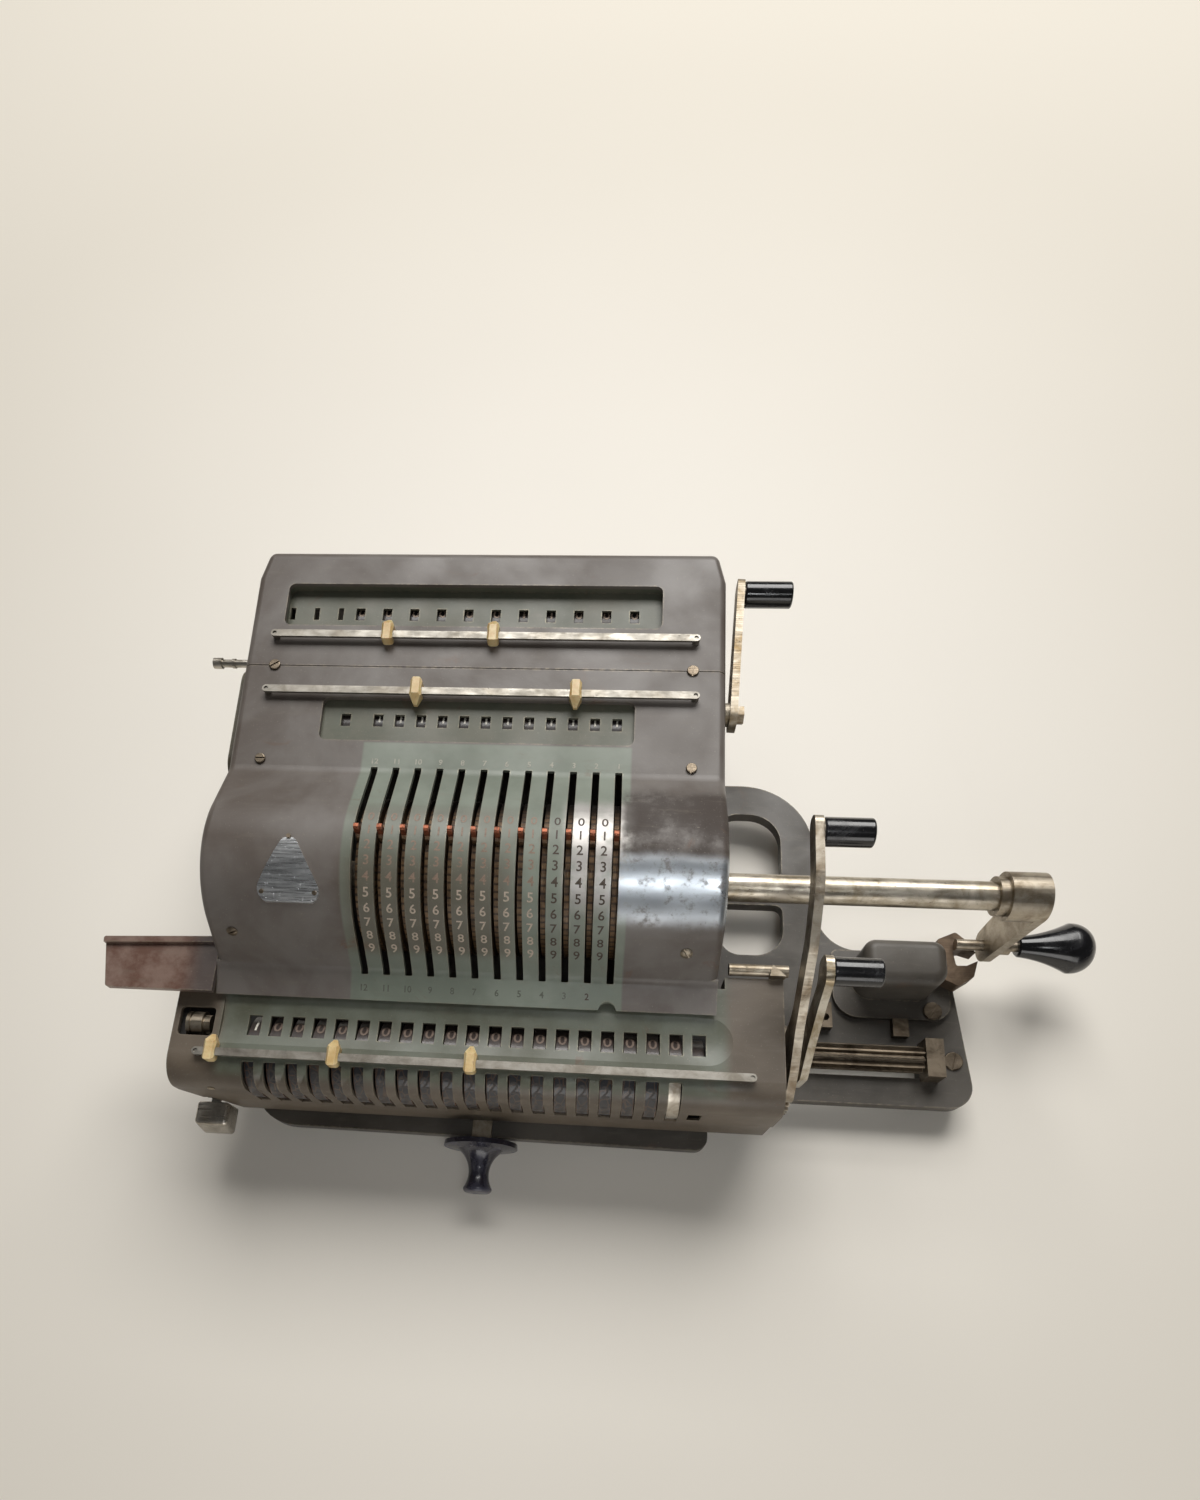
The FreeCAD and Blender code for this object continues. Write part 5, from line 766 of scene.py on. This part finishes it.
CAMERA_PLACE, CAMERA_TURN = (58.43, -176.07, 359.73), (19.783, 3.375, 3.778)
CAMERA_LENS, CAMERA_SENSOR, CAMERA_NEAR = 21.9207, 36.0, 0.01
CAMERA_SHIFT = (0.047317, 0.156349)


def make_camera():
    data = bpy.data.cameras.new("camera")
    data.lens = CAMERA_LENS
    data.sensor_width = CAMERA_SENSOR
    data.shift_x, data.shift_y = CAMERA_SHIFT
    data.clip_start = CAMERA_NEAR
    camera = bpy.data.objects.new("camera", data)
    camera.location = at(*CAMERA_PLACE)
    camera.rotation_euler = [math.radians(angle) for angle in CAMERA_TURN]
    bpy.context.scene.collection.objects.link(camera)
    bpy.context.scene.camera = camera


FLOOR_MIDDLE, FLOOR_REACH = (40.0, 130.0), (420.0, 480.0)
FLOOR_RADIUS, FLOOR_CORNERS = 1.5, 96
# The second colour is painted shade: darker floor standing in for light falling off away from the middle.
FLOOR_PALE, FLOOR_PAINTED_SHADE = srgb(251, 246, 237), srgb(226, 220, 208)


def make_floor():
    """A round pale sheet, with painted shade that darkens it a little towards its rim."""
    turns = [2 * math.pi * corner / FLOOR_CORNERS for corner in range(FLOOR_CORNERS)]
    corners = [(FLOOR_RADIUS * math.cos(turn), FLOOR_RADIUS * math.sin(turn), 0) for turn in turns]
    shader = Shader("floor_paper")
    across = shader.math("DIVIDE", shader.math("SUBTRACT", shader.place(0), FLOOR_MIDDLE[0]), FLOOR_REACH[0])
    away = shader.math("DIVIDE", shader.math("SUBTRACT", shader.place(1), FLOOR_MIDDLE[1]), FLOOR_REACH[1])
    squares = shader.math("ADD", shader.product(across, across), shader.product(away, away))
    grain = shader.product(shader.math("SUBTRACT", shader.noise(3, 2, 0.5), 0.5), 0.2)
    # Painted shade: the floor's colour darkens from the middle towards the rim.
    rim = shader.ramp(shader.math("ADD", shader.math("SQRT", squares), grain), 0.15, 1.35)
    shader.set(Base_Color=shader.mix(rim, FLOOR_PALE, FLOOR_PAINTED_SHADE), Roughness=0.9)
    floor = new_piece("floor", corners, [tuple(range(FLOOR_CORNERS))], shader.material)


# Lights: place and target in metres, size, power, colour, and spread in degrees.
MIDDLE = (0.0, 0.0, 0.08)
LIGHTS = (
    ("key", (0.15, 1.5, 1.85), MIDDLE, (1.9, 1.4), 60.0, (1.0, 0.985, 0.96), 180.0),
    ("front", (0.1, -1.15, 0.36), MIDDLE, (0.9, 0.5), 3.4, (1.0, 0.98, 0.95), 180.0),
    ("side", (-1.2, -0.5, 0.9), MIDDLE, (0.9, 0.9), 0.5, (1.0, 1.0, 1.0), 180.0),
    ("flash", at(150, -256, 575), at(70, -10, 30), (0.16, 0.08), 0.04, (0.97, 0.99, 1.0), 45.0),
)


def make_light(name, place, target, size, power, colour, spread):
    data = bpy.data.lights.new(name, "AREA")
    data.shape = "RECTANGLE"
    data.size, data.size_y = size
    data.energy = power
    data.color = colour
    data.spread = math.radians(spread)
    lamp = bpy.data.objects.new(name, data)
    lamp.location = Vector(place)
    lamp.rotation_euler = (Vector(target) - Vector(place)).to_track_quat("-Z", "Y").to_euler()
    bpy.context.scene.collection.objects.link(lamp)


WORLD_COLOUR = (0.96, 0.95, 0.93, 1.0)
WORLD_STRENGTH, WORLD_SEEN = 0.07, 0.8      # as a light, and as the camera sees it


def make_world():
    world = bpy.data.worlds.new("studio")
    world.use_nodes = True
    nodes, links = world.node_tree.nodes, world.node_tree.links
    nodes["Background"].inputs[0].default_value = WORLD_COLOUR
    strength = nodes.new("ShaderNodeMapRange")
    strength.inputs["To Min"].default_value = WORLD_STRENGTH
    strength.inputs["To Max"].default_value = WORLD_SEEN
    rays = nodes.new("ShaderNodeLightPath")
    links.new(rays.outputs["Is Camera Ray"], strength.inputs["Value"])
    links.new(strength.outputs[0], nodes["Background"].inputs[1])
    bpy.context.scene.world = world


# ------------------------------------------------------------------ the whole

dress_nodes()
make_camera()
make_floor()
for light in LIGHTS:
    make_light(*light)
make_world()
bpy.context.scene.view_settings.view_transform = "Standard"
cover_figures()
dial_figures()
for facts in SCREWS:
    screw(*facts)
